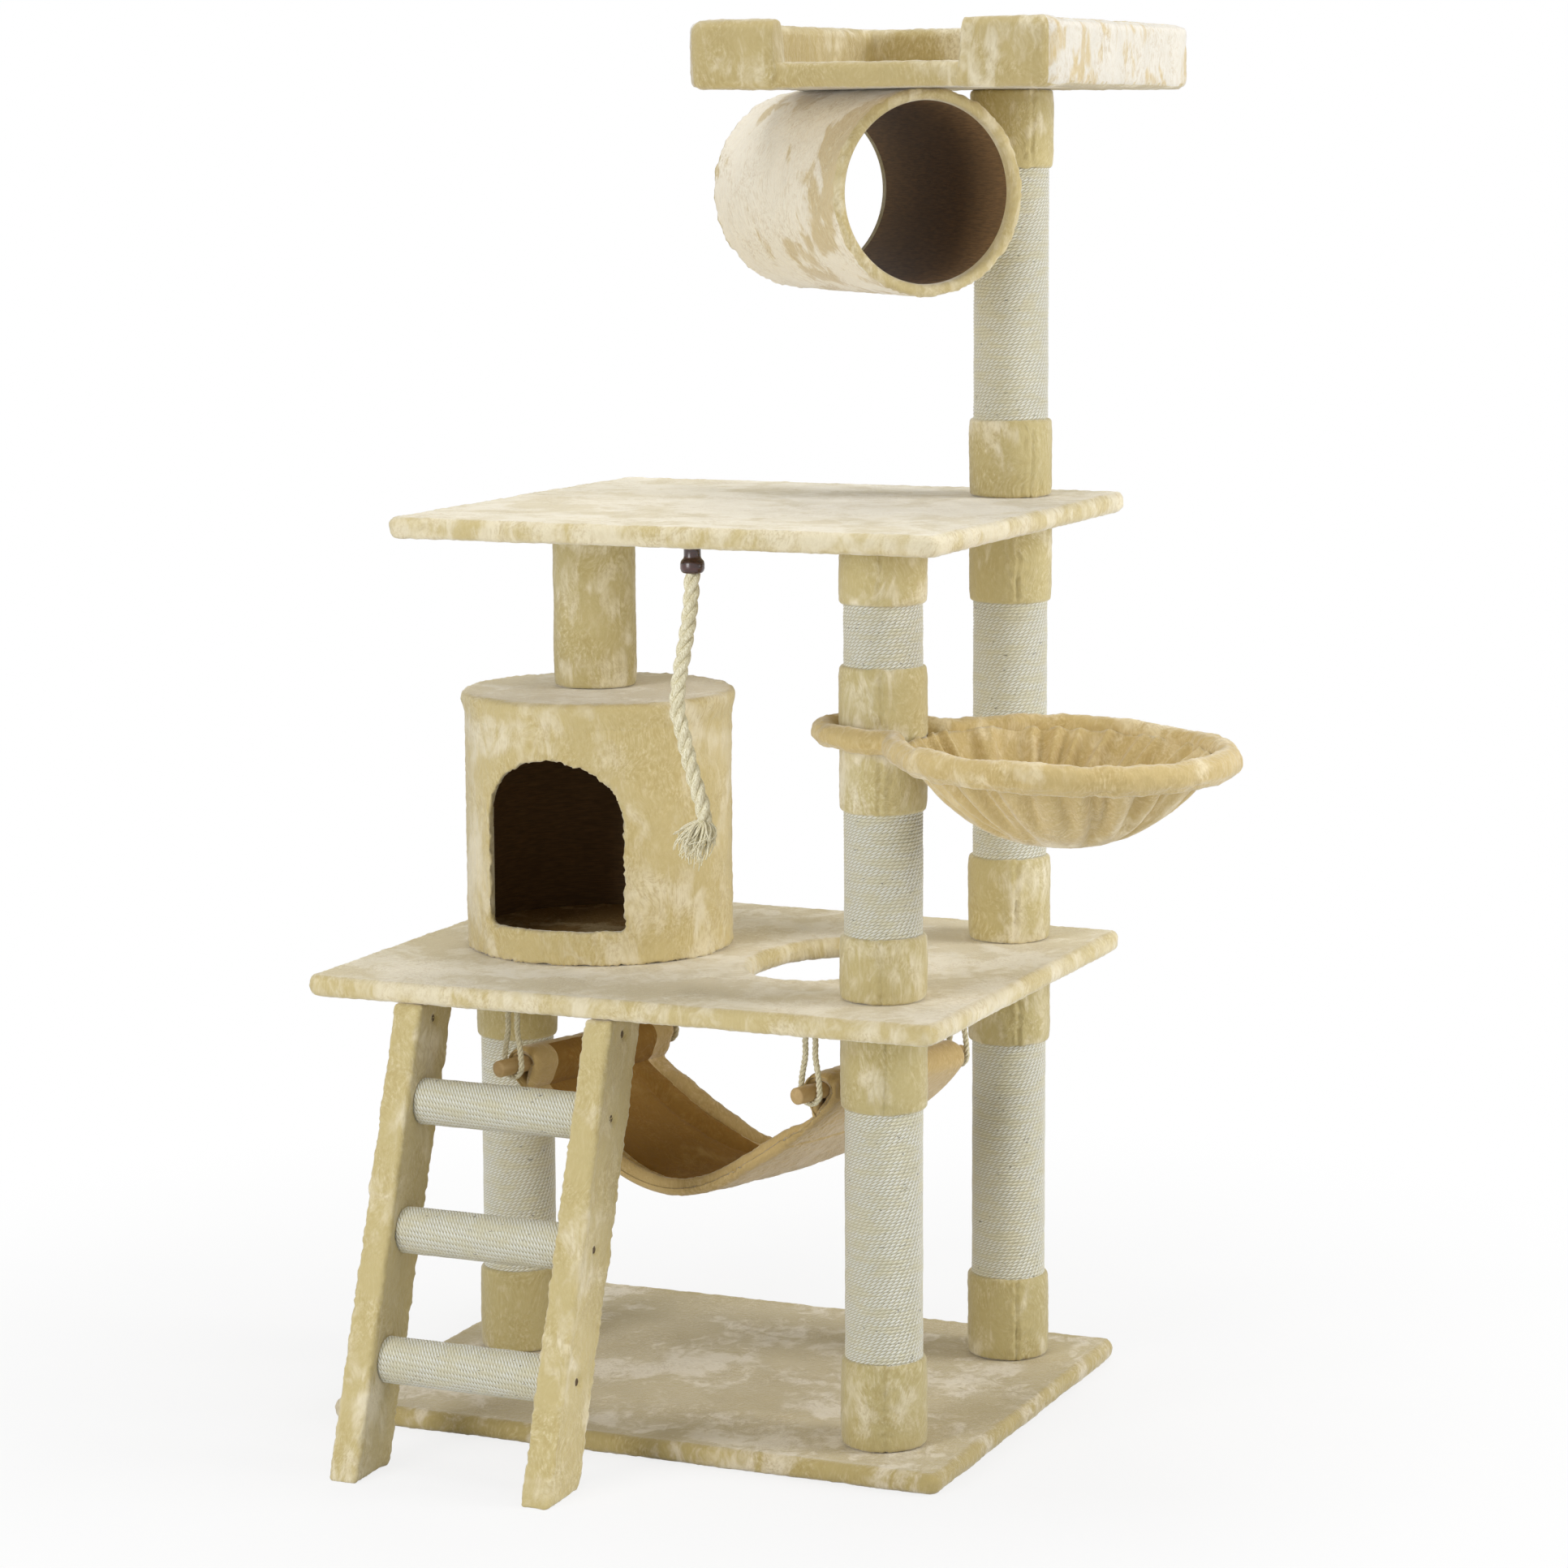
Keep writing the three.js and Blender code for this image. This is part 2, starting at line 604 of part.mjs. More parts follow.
const hookHeight = middle.z - hookDrop;
for (const [side, sideName] of [[-1, 'left'], [1, 'right']]) {
  const hanger = new THREE.Group();
  hanger.position.set(hammock.x + side * hammock.spacing / 2, hammock.y, hammock.dowelHeight);
  hanger.rotation.z = -lean;
  tree.add(hanger);
  addPiece(`hammock_dowel_${sideName}`,
    new THREE.CylinderGeometry(dowel.radius, dowel.radius, dowel.length, 16)
      .translate(0, dowel.length / 2, 0),
    wood, hanger);
  for (const [endName, along] of [['front', loopInset], ['back', dowel.length - loopInset]]) {
    const drop = hookHeight - hammock.dowelHeight;
    addPiece(`hammock_loop_${endName}_${sideName}`, ropeLoop(drop), cotton, hanger).position.y = along;
    addPiece(`hammock_hook_${endName}_${sideName}`, cupHook(), steel, hanger).position.set(0, along, drop);
  }
}

// ---------------------------------------------------------------- rope toy
const toyTop = upper.z - seatGap;
const toyBottom = toyTop - toy.capHeight;
const toyPivot = toyBottom - toyMouth;
const socketRadius = Math.hypot(toy.ropeRadius, toyInsert) + seatGap;

function toyCap() {
  const socket = [0, 0.33, 0.67, 1].map((share) => {
    const angle = share * Math.acos(toyMouth / socketRadius);
    return [socketRadius * Math.sin(angle), toyPivot + socketRadius * Math.cos(angle)];
  });
  return revolve([
    ...socket,
    [toy.capRadius - 3, toyBottom], [toy.capRadius, toyBottom + 5], [toy.capRadius, toyBottom + 11],
    [toy.capRadius - 3, toyBottom + 15], [toy.neckRadius, toyBottom + 17], [toy.neckRadius + 1, toyTop],
    [0, toyTop],
  ], 14);
}
addPiece('toy_cap', toyCap(), darkWood).position.set(toy.x, toy.y, 0);

function toyRope() {
  const curve = new THREE.CatmullRomCurve3(toyRoute.map(([x, y, z]) => new THREE.Vector3(x, y, z)));
  const section = new THREE.Shape().absarc(0, 0, toy.ropeRadius, 0, 2 * Math.PI);
  return new THREE.ExtrudeGeometry(section, { steps: 16, extrudePath: curve, curveSegments: 4 });
}
addPiece('toy_rope', toyRope(), cotton).position.set(toy.x, toy.y, toyPivot);

export default tree;
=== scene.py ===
"""The looks of the cat tree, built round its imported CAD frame. Metres, +Z up, -Y towards the ladder."""
import json
import math

import bmesh
import bpy
import numpy as np
from mathutils import Matrix, Vector


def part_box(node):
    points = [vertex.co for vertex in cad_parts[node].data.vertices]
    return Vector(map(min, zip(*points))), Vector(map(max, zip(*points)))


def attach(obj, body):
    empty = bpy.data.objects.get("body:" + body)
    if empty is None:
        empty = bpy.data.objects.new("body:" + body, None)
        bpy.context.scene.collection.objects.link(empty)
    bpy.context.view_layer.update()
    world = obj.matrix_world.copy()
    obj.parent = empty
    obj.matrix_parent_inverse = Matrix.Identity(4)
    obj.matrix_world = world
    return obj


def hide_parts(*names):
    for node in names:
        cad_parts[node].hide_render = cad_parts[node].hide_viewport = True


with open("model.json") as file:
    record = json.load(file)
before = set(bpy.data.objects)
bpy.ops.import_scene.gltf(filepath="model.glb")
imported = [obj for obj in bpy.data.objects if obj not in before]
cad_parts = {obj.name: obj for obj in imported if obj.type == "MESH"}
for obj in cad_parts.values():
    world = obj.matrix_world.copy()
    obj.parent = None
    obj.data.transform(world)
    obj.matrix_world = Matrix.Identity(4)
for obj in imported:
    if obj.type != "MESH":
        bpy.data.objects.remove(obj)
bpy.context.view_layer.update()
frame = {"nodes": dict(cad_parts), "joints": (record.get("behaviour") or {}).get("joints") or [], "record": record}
joints = {joint["name"]: joint for joint in frame["joints"]}

# ---------------------------------------------------------------- sizes that the frame doesn't hold
MM = 0.001
TURN, QUARTER = 2 * math.pi, math.pi / 2
EAST, NORTH, UP = np.eye(3)
BOARD_EDGE, BOARD_CORNER = 9 * MM, 12 * MM
HOLE_HALF = np.array([85, 131]) * MM
SLEEVE_INNER = 39.5 * MM
TWINE_PITCH, TWINE_DEPTH, TWINE_TUCK = 3.9 * MM, 1.1 * MM, 2.5 * MM
TWINE_SECTION = np.array([0.0, 0.72, 0.94, 1.0, 0.94, 0.72])


# ---------------------------------------------------------------- arrays and noise
def box(node):
    low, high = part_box(node)
    return np.array(low), np.array(high)


def middle_of(node):
    return sum(box(node)) / 2


def plan(node):
    """A node's box, and its middle and half sizes as seen from above."""
    low, high = box(node)
    return low, high, (low + high)[:2] / 2, (high - low)[:2] / 2


def pivot_of(joint):
    return np.array(joints[joint]["pos_m"])


def smooth(x, low=0.0, high=1.0):
    t = np.clip((x - low) / (high - low), 0, 1)
    return t * t * (3 - 2 * t)


def off_ends(x, low, high, reach):
    """1 along the middle, falling to 0 at both ends."""
    return smooth(x, low, low + reach) * smooth(-x, -high, -high + reach)


def bell(x, width, power=2):
    """1 at zero, falling away beyond that width."""
    return np.exp(-(x / width) ** power)


def unit(v):
    return v / np.linalg.norm(v, axis=-1, keepdims=True)


def angles(count):
    """Even angles once round."""
    return np.arange(count) * TURN / count


def wrapped(angle):
    """The same angle, from minus to plus half a turn."""
    return (angle + math.pi) % TURN - math.pi


def lattice(i, j, k, seed):
    """A repeatable value from -1 to 1 for each whole-number cell."""
    n = i * 374761393 + j * 668265263 + k * 2147483629 + seed * 974634777
    n = n.astype(np.uint64) & np.uint64(0xFFFFFFFF)
    n = (n ^ (n >> np.uint64(13))) * np.uint64(1274126177) & np.uint64(0xFFFFFFFF)
    n = n ^ (n >> np.uint64(16))
    return n.astype(float) / 2**31 - 1


def noise(points, size, seed=0):
    """Smooth noise from about -1 to 1 with features of the given size."""
    p = np.asarray(points, float) / size
    cell = np.floor(p).astype(np.int64)
    f = p - cell
    f = f * f * (3 - 2 * f)
    total = 0.0
    for corner in range(8):
        step = np.array([corner >> 2 & 1, corner >> 1 & 1, corner & 1])
        weight = np.prod(np.where(step, f, 1 - f), axis=-1)
        i, j, k = np.moveaxis(cell + step, -1, 0)
        total = total + weight * lattice(i, j, k, seed)
    return total


def wobble(x, size, seed=0):
    """Smooth noise along one axis."""
    x = np.asarray(x, float)
    return noise(np.stack([x, 0 * x, 0 * x], -1), size, seed)


def tufts(points, seed, fine=3.6 * MM, coarse=8 * MM, share=0.8):
    """The small uneven clumps of a plush pile."""
    return noise(points, fine, seed) + share * noise(points, coarse, seed + 1)


# ---------------------------------------------------------------- lines and outlines
def lengths(line):
    """How far along a line each of its points lies."""
    return np.concatenate([[0], np.cumsum(np.linalg.norm(np.diff(line, axis=0), axis=1))])


def resample(line, step=None, count=None):
    """The same line at an even step, or with that many points."""
    along = lengths(line)
    at = np.linspace(0, along[-1], count or max(2, round(along[-1] / step)))
    return np.stack([np.interp(at, along, column) for column in line.T], -1)


def round_points(centre, radius, angle):
    """Flat points at those angles round a centre."""
    return np.stack([centre[0] + radius * np.cos(angle), centre[1] + radius * np.sin(angle)], -1)


def at_height(flat, z):
    return np.concatenate([flat, np.broadcast_to(z, flat.shape[:-1])[..., None]], -1)


def quarter_round(radius, count):
    """(inset, rise) pairs from the underside of a rounded edge up to its side."""
    angle = np.linspace(0, QUARTER, count)
    return [(radius * (1 - math.sin(a)), radius * (1 - math.cos(a))) for a in angle]


def edge_profile(z0, z1, edge):
    """The rounded rim of a plate from its underside to its top, as (inset, z) pairs."""
    lower = [(inset, z0 + rise) for inset, rise in quarter_round(edge, 6)]
    upper = [(inset, z0 + z1 - z) for inset, z in lower[::-1]]
    flat = [(0.0, z) for z in np.linspace(z0 + edge, z1 - edge, 4)[1:-1]]
    return lower + flat + upper


def corner_path(reach_a, reach_b, radius, count):
    """From (0, 0) forwards, round a bend of that radius and up to (reach_a, reach_b), evenly spaced."""
    radius = min(radius, reach_a, reach_b)
    bend = round_points((reach_a - radius, radius), radius, np.linspace(-QUARTER, 0, 10))
    return resample(np.vstack([[0, 0], bend, [reach_a, reach_b]]), count=count)


def rounded_ring(half, corner, stops, bend=14):
    """A rounded rectangle whose points keep the same stops along each straight side at every inset."""
    points = []
    for quarter in range(4):
        along, across = quarter % 2, 1 - quarter % 2
        forward = np.array([(1, 0), (0, 1), (-1, 0), (0, -1)][quarter], float)
        left = np.array([-forward[1], forward[0]])
        run = stops[along][-1]
        turn = corner_path(half[along] - run, half[across] - stops[across][-1], corner, bend)[1:-1]
        side = -half[across] * left
        points += [stops[along][:, None] * forward + side]
        points += [run * forward + side + turn[:, :1] * forward + turn[:, 1:] * left]
    return np.vstack(points)


def even_stops(run, step):
    return np.linspace(-run, run, max(3, round(2 * run / step)))


def lathe(profile, origin, axis, side, other, columns):
    """Rings round an axis from (radius, reach along the axis) pairs."""
    profile = np.asarray(profile, float)
    spine = origin + profile[:, 1][:, None, None] * axis
    across, up = (profile[:, :1] * turn(angles(columns)) for turn in (np.cos, np.sin))
    return spine + side * across[..., None] + other * up[..., None]


def upright(profile, centre, columns):
    """Rings about a vertical axis from (radius, z) pairs."""
    return lathe(profile, np.array([*centre, 0]), UP, EAST, NORTH, columns)


# ---------------------------------------------------------------- meshes
def mesh_piece(name, points, quads, triangles=(), uv=None):
    """A mesh object from arrays; uv holds one pair for each corner of the quads."""
    points = np.asarray(points, float).reshape(-1, 3)
    quads = np.asarray(quads, np.int64).reshape(-1, 4)
    triangles = np.asarray(triangles, np.int64).reshape(-1, 3)
    corners = np.concatenate([quads.ravel(), triangles.ravel()])
    starts = np.concatenate([np.arange(len(quads)) * 4, quads.size + np.arange(len(triangles)) * 3])
    mesh = bpy.data.meshes.new(name)
    mesh.vertices.add(len(points))
    mesh.vertices.foreach_set("co", points.astype(np.float32).ravel())
    mesh.loops.add(len(corners))
    mesh.loops.foreach_set("vertex_index", corners.astype(np.int32))
    mesh.polygons.add(len(starts))
    mesh.polygons.foreach_set("loop_start", starts.astype(np.int32))
    mesh.update(calc_edges=True)
    if uv is not None:
        layer = mesh.uv_layers.new(name="Twine")
        rest = np.full((triangles.size, 2), 0.5)
        layer.data.foreach_set("uv", np.vstack([uv, rest]).astype(np.float32).ravel())
    mesh.validate()
    face_out(mesh)
    shade_smooth(mesh)
    piece = bpy.data.objects.new(name, mesh)
    bpy.context.scene.collection.objects.link(piece)
    return piece


def face_out(mesh):
    """Turns every face of a closed mesh outwards."""
    faces = bmesh.new()
    faces.from_mesh(mesh)
    bmesh.ops.recalc_face_normals(faces, faces=faces.faces)
    if faces.calc_volume(signed=True) < 0:
        bmesh.ops.reverse_faces(faces, faces=faces.faces)
    faces.to_mesh(mesh)
    faces.free()


def shade_smooth(mesh):
    mesh.polygons.foreach_set("use_smooth", np.ones(len(mesh.polygons), bool))
    mesh.update()


def quads_of(index):
    """The quads between the rows and columns of a grid of point numbers."""
    return np.stack([index[:-1, :-1], index[:-1, 1:], index[1:, 1:], index[1:, :-1]], -1)


def grid_faces(rows, columns, wrap_rows):
    """The quads of rings that close on themselves, with the last ring joined to the first if wrapped."""
    index = np.arange(rows * columns).reshape(rows, columns)
    if wrap_rows:
        index = np.vstack([index, index[:1]])
    return quads_of(np.hstack([index, index[:, :1]])).reshape(-1, 4)


def fan(loop, tip):
    """Triangles from a closed loop of points to one tip."""
    return np.stack([loop, np.roll(loop, -1), np.full(len(loop), tip)], -1)


def skin(rings, wrap_rows=False):
    """(points, quads, triangles) of a closed skin of rings; unless wrapped, its two ends are capped."""
    rows, columns = rings.shape[:2]
    flat, quads = rings.reshape(-1, 3), grid_faces(rows, columns, wrap_rows)
    if wrap_rows:
        return flat, quads, np.zeros((0, 3), int)
    count, first = len(flat), np.arange(columns)
    caps = np.vstack([fan(first, count), fan(count - columns + first, count + 1)])
    return np.vstack([flat, rings[0].mean(0), rings[-1].mean(0)]), quads, caps


def grid_piece(name, rings, wrap_rows=False):
    return mesh_piece(name, *skin(rings, wrap_rows))


def merge(parts):
    """Joins (points, quads, triangles) parts into one."""
    points, quads, triangles, count = [], [], [], 0
    for p, q, t in parts:
        points.append(p)
        quads.append(q + count)
        triangles.append(t + count)
        count += len(p)
    return np.vstack(points), np.vstack(quads), np.vstack(triangles)


def read(items, key):
    """One 3-D value for each vertex or face, as an array."""
    values = np.zeros(len(items) * 3, np.float32)
    items.foreach_get(key, values)
    return values.reshape(-1, 3).astype(float)


def coordinates(piece):
    return read(piece.data.vertices, "co")


def set_coordinates(piece, points):
    piece.data.vertices.foreach_set("co", points.astype(np.float32).ravel())
    piece.data.update()


def push_out(piece, amount):
    """Moves each point along its normal."""
    normals = read(piece.data.vertex_normals, "vector")
    set_coordinates(piece, coordinates(piece) + normals * np.asarray(amount)[:, None])


def mark_faces(piece, chosen):
    """Gives each face the material that chosen(middles, normals) picks by number, or second where true."""
    faces = piece.data.polygons
    mask = chosen(read(faces, "center"), read(faces, "normal"))
    faces.foreach_set("material_index", np.asarray(mask).astype(np.int32))


def finish_piece(piece, materials, body, replaced=()):
    """Gives a piece its materials by name, its body and the CAD nodes that it replaces."""
    for name in materials.split():
        piece.data.materials.append(MATERIAL[name])
    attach(piece, body)
    if replaced:
        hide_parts(*replaced)
    return piece


# ---------------------------------------------------------------- camera, made before everything else
def make_camera():
    yaw, pitch, roll = -0.4097, 0.1495, -0.0048
    forward = Vector((math.sin(yaw) * math.cos(pitch), math.cos(yaw) * math.cos(pitch), -math.sin(pitch)))
    level = Vector((math.cos(yaw), -math.sin(yaw), 0))
    upward = level.cross(forward)
    right = level * math.cos(roll) + upward * math.sin(roll)
    up = right.cross(forward)
    camera = bpy.data.objects.new("camera", bpy.data.cameras.new("camera"))
    camera.data.lens = 98.773
    camera.data.sensor_width = 36
    camera.data.clip_end = 60
    place = Matrix((right, up, -forward)).transposed().to_4x4()
    place.translation = (2.0051, -4.4567, 1.4519)
    camera.matrix_world = place
    bpy.context.scene.collection.objects.link(camera)
    bpy.context.scene.camera = camera


make_camera()


# ---------------------------------------------------------------- node materials
class Graph:
    """A node material, with short calls for the nodes that the finishes share."""

    def __init__(self, name):
        self.material = bpy.data.materials.new(name)
        self.material.use_nodes = True
        self.tree = self.material.node_tree
        self.tree.nodes.clear()
        self.output = self.add("OutputMaterial")
        self.shader = self.add("BsdfPrincipled")
        self.tree.links.new(self.shader.outputs[0], self.output.inputs[0])

    def add(self, kind, inputs=None, **settings):
        node = self.tree.nodes.new("ShaderNode" + kind)
        for key, value in settings.items():
            setattr(node, key, value)
        for key, value in (inputs or {}).items():
            self.set(node.inputs[key], value)
        return node

    def set(self, socket, value):
        if isinstance(value, bpy.types.NodeSocket):
            self.tree.links.new(value, socket)
        elif socket.type == "RGBA":
            socket.default_value = (*value, 1)
        else:
            socket.default_value = value

    def place(self, scale=(1, 1, 1), shift=(0, 0, 0), turn=(0, 0, 0)):
        coords = self.add("TexCoord").outputs["Object"]
        inputs = {"Vector": coords, "Scale": scale, "Location": shift, "Rotation": turn}
        return self.add("Mapping", inputs).outputs[0]

    def noise(self, vector, scale, detail=2.0, roughness=0.5, distortion=0.0):
        return self.add("TexNoise", {
            "Vector": vector, "Scale": scale, "Detail": detail, "Roughness": roughness,
            "Distortion": distortion,
        }).outputs["Fac"]

    def between(self, value, low, high, to_low=0.0, to_high=1.0):
        return self.add("MapRange", {
            "Value": value, "From Min": low, "From Max": high, "To Min": to_low, "To Max": to_high,
        }, interpolation_type="SMOOTHSTEP").outputs["Result"]

    def math(self, operation, a, b=0.0):
        return self.add("Math", {0: a, 1: b}, operation=operation).outputs[0]

    def times(self, a, b):
        return self.math("MULTIPLY", a, b)

    def plus(self, a, b):
        return self.math("ADD", a, b)

    def from_half(self, value):
        """How far a value from 0 to 1 is from its middle."""
        return self.math("ABSOLUTE", self.math("SUBTRACT", value, 0.5))

    def mix(self, factor, a, b):
        return self.add("Mix", {0: factor, 6: a, 7: b}, data_type="RGBA").outputs[2]

    def bump(self, height, strength, distance):
        return self.add("Bump", {"Height": height, "Strength": strength, "Distance": distance}).outputs[0]

    def finish(self, **values):
        for key, value in values.items():
            self.set(self.shader.inputs[key.replace("_", " ")], value)
        return self.material


def rgb(red, green, blue):
    """A display colour from 0 to 255 as linear values."""
    shares = (c / 255 for c in (red, green, blue))
    return tuple(c / 12.92 if c <= 0.04045 else ((c + 0.055) / 1.055) ** 2.4 for c in shares)


def dimmed(colour, share):
    return tuple(c * share for c in colour)


def plush(name, shift, cream, tan=(211, 194, 142), light=(236, 225, 194), patch=10.0, soft=0.17, sheen=0.6):
    """Short brushed plush. Where the nap lies over it shows paler, in soft streaky patches."""
    g = Graph("plush_" + name)
    tan, light = rgb(*tan), rgb(*light)
    place = g.place(shift=(shift, -shift, shift * 0.7))
    slanted = g.place(scale=(1.0, 0.8, 0.42), turn=(0.35, 0.2, 0.5), shift=(shift, shift, 0))
    broad = g.noise(place, patch, 2.0, 0.5, 0.9)
    streaks = g.noise(slanted, patch * 4.2, 3.0, 0.62, 1.3)
    nap = g.plus(g.times(broad, 0.62), g.times(streaks, 0.38))
    middle = 0.635 - cream * 0.2
    brushed = g.between(nap, middle - soft / 2, middle + soft / 2)
    swirl = g.add("TexNoise", {"Vector": place, "Scale": 16.0, "Detail": 1.0}).outputs["Color"]
    combed = g.add("VectorMath", {
        0: swirl, 1: (0.05, 0.05, 0.05), 2: g.place(scale=(1.0, 0.75, 0.42), turn=(0.3, 0.25, 0.4)),
    }, operation="MULTIPLY_ADD").outputs[0]
    pile = g.plus(
        g.times(g.noise(combed, 340.0, 3.0, 0.7), 0.7), g.times(g.noise(place, 130.0, 2.0, 0.6), 0.3)
    )
    # Painted shade and highlight in the pile: where the bump height is low the colour darkens to a deeper, more
    # saturated tan, and on the raised tufts it pales.
    deep = tuple(c * k for c, k in zip(tan, (0.74, 0.64, 0.46)))
    tips = tuple(min(1.0, c * 1.10 + 0.03) for c in light)
    uneven = g.noise(g.place(shift=(2 + shift, 5, shift)), patch * 1.6, 2.0, 0.5, 0.6)
    ruffled = g.between(uneven, 0.38, 0.66, 0.25, 1.0)
    colour = g.mix(brushed, tan, light)
    colour = g.mix(g.times(g.between(pile, 0.38, 0.54, 0.42, 0.0), ruffled), colour, deep)
    colour = g.mix(g.times(g.between(pile, 0.50, 0.68, 0.0, 0.42), ruffled), colour, tips)
    return g.finish(
        Base_Color=colour, Roughness=0.95, Specular_IOR_Level=0.1, Sheen_Weight=sheen,
        Sheen_Roughness=0.45, Normal=g.bump(g.plus(pile, g.times(streaks, 0.4)), 0.6, 2.4 * MM),
    )


def twine():
    """Sisal twine: its UV runs along the twine and round it, so the strands cross each row at a slant."""
    g = Graph("sisal_twine")
    strands_per_metre = 165.0
    uv = g.add("UVMap", uv_map="Twine").outputs[0]
    parts = g.add("SeparateXYZ", {0: uv})
    along, around = parts.outputs["X"], parts.outputs["Y"]
    slant = g.math("SUBTRACT", g.times(along, strands_per_metre), around)
    groove = g.between(g.from_half(g.math("FRACT", slant)), 0.04, 0.24)
    row = g.between(g.from_half(around), 0.30, 0.49)
    fibre = g.noise(g.add("Mapping", {"Vector": uv, "Scale": (300, 8, 1)}).outputs[0], 5.0, 3.0, 0.7)
    tone = g.noise(g.place(scale=(1, 1, 3)), 26.0, 4.0, 0.65)
    knots = g.noise(g.place(scale=(1, 1, 2.5)), 130.0, 2.0, 0.5)
    # The crease between strands is darkened here: painted shade in the groove.
    colour = g.mix(groove, rgb(204, 194, 144), rgb(255, 255, 244))
    colour = g.mix(g.between(fibre, 0.38, 0.7, 0.0, 0.2), colour, rgb(236, 229, 196))
    colour = g.mix(g.between(tone, 0.44, 0.62, 0.0, 0.55), colour, rgb(238, 230, 190))
    # Darker edges of each row, where one turn of twine meets the next: painted shade in the valley.
    colour = g.mix(g.times(row, 0.38), colour, rgb(180, 168, 116))
    colour = g.mix(g.between(knots, 0.69, 0.74, 0.0, 0.7), colour, rgb(96, 84, 50))
    return g.finish(
        Base_Color=colour, Roughness=0.45, Specular_IOR_Level=0.7, Sheen_Weight=0.5,
        Sheen_Roughness=0.4, Normal=g.bump(g.plus(groove, g.times(fibre, 0.6)), 0.9, 1.1 * MM),
    )


def cardboard():
    g = Graph("bare_cardboard")
    colour = rgb(134, 102, 62)
    dark = dimmed(colour, 0.55)
    fibres = g.noise(g.place(scale=(1, 1, 14)), 60.0, 4.0, 0.6)
    flutes = g.noise(g.place(), 9.0, 2.0)
    mixed = g.mix(g.between(fibres, 0.3, 0.7), dark, colour)
    mixed = g.mix(g.between(flutes, 0.4, 0.7, 0.0, 0.4), mixed, dark)
    return g.finish(Base_Color=mixed, Roughness=0.85, Normal=g.bump(fibres, 0.2, 0.5 * MM))


def wood(name, light, dark, roughness, along=(1, 1, 12), coat=0.0):
    g = Graph(name)
    grain = g.noise(g.place(scale=along), 22.0, 5.0, 0.65, 0.4)
    pores = g.noise(g.place(scale=tuple(3 * a for a in along)), 60.0, 2.0)
    colour = g.mix(g.between(grain, 0.35, 0.65), dark, light)
    colour = g.mix(g.between(pores, 0.55, 0.75, 0.0, 0.35), colour, dark)
    return g.finish(
        Base_Color=colour, Roughness=g.between(grain, 0.3, 0.7, roughness, roughness + 0.12),
        Coat_Weight=coat, Coat_Roughness=0.2, Normal=g.bump(pores, 0.15, 0.3 * MM),
    )


def metal(name, colour):
    g = Graph(name)
    scuffs = g.noise(g.place(scale=(1, 1, 6)), 180.0, 4.0, 0.7)
    tint = g.mix(g.between(scuffs, 0.35, 0.7, 0.0, 0.5), colour, dimmed(colour, 0.6))
    return g.finish(
        Base_Color=tint, Metallic=1.0, Roughness=g.between(scuffs, 0.3, 0.75, 0.28, 0.5),
        Normal=g.bump(scuffs, 0.1, 0.1 * MM),
    )


def strand_fibre(name, light, dark, bump=0.5):
    """Loose sisal or cotton fibres and laid strands."""
    g = Graph(name)
    fibre = g.noise(g.place(scale=(1, 1, 0.2)), 900.0, 3.0, 0.7)
    tone = g.noise(g.place(), 90.0, 2.0)
    colour = g.mix(g.between(fibre, 0.3, 0.65), dark, light)
    colour = g.mix(g.between(tone, 0.4, 0.7, 0.0, 0.3), colour, dark)
    return g.finish(
        Base_Color=colour, Roughness=0.7, Sheen_Weight=0.3, Normal=g.bump(fibre, bump, 0.5 * MM),
    )


PLUSH = {
    "board": {"shift": 0.0, "cream": 0.6},
    "upper": {"shift": 3.1, "cream": 0.8},
    # The base board's plush is a darker copy of the board's: painted shade from the boards above it.
    "base": {"shift": 7.7, "cream": 0.42, "tan": (188, 170, 116), "light": (222, 210, 182), "soft": 0.13},
    # The lower sleeves take a darker copy of the sleeve plush: painted shade, as the light falls off towards the
    # floor.
    "shaded_low_sleeve": {"shift": 5.3, "cream": 0.2, "patch": 11, "tan": (194, 180, 130), "light": (226, 216, 186)},
    "sleeve": {"shift": 5.3, "cream": 0.28, "patch": 11, "tan": (203, 189, 139), "light": (238, 229, 202)},
    "condo": {"shift": 1.9, "cream": 0.4, "patch": 9},
    "perch": {"shift": 9.1, "cream": 0.25, "tan": (200, 182, 130)},
    # The tray's sides take a paler, whiter copy of the perch plush: a painted highlight from the strong light on
    # the right.
    "flank": {"shift": 9.1, "cream": 0.66, "tan": (212, 192, 146), "light": (228, 222, 208), "soft": 0.09},
    "tunnel": {"shift": 4.4, "cream": 0.88, "patch": 9, "tan": (216, 196, 150), "light": (248, 239, 218),
               "soft": 0.08},
    "rim": {"shift": 3.8, "cream": 0.3, "tan": (205, 188, 138)},
    "rail": {"shift": 2.6, "cream": 0.22, "tan": (206, 190, 138)},
    "basket": {"shift": 6.2, "cream": 0.3, "tan": (207, 184, 128), "light": (234, 218, 178)},
    "hammock": {"shift": 8.3, "cream": 0.15, "tan": (198, 172, 118), "light": (222, 200, 154)},
    # The hammock's inner faces: a darker brown, partly the cloth's own inner colour and partly painted shade in
    # the trough.
    "lining": {"shift": 2.2, "cream": 0.1, "tan": (150, 114, 56), "light": (174, 142, 84), "sheen": 0.1},
    "den_floor": {"shift": 6.6, "cream": 0.3, "tan": (156, 124, 74), "light": (206, 182, 136), "sheen": 0.0},
}
MATERIAL = {name: plush(name, **looks) for name, looks in PLUSH.items()}
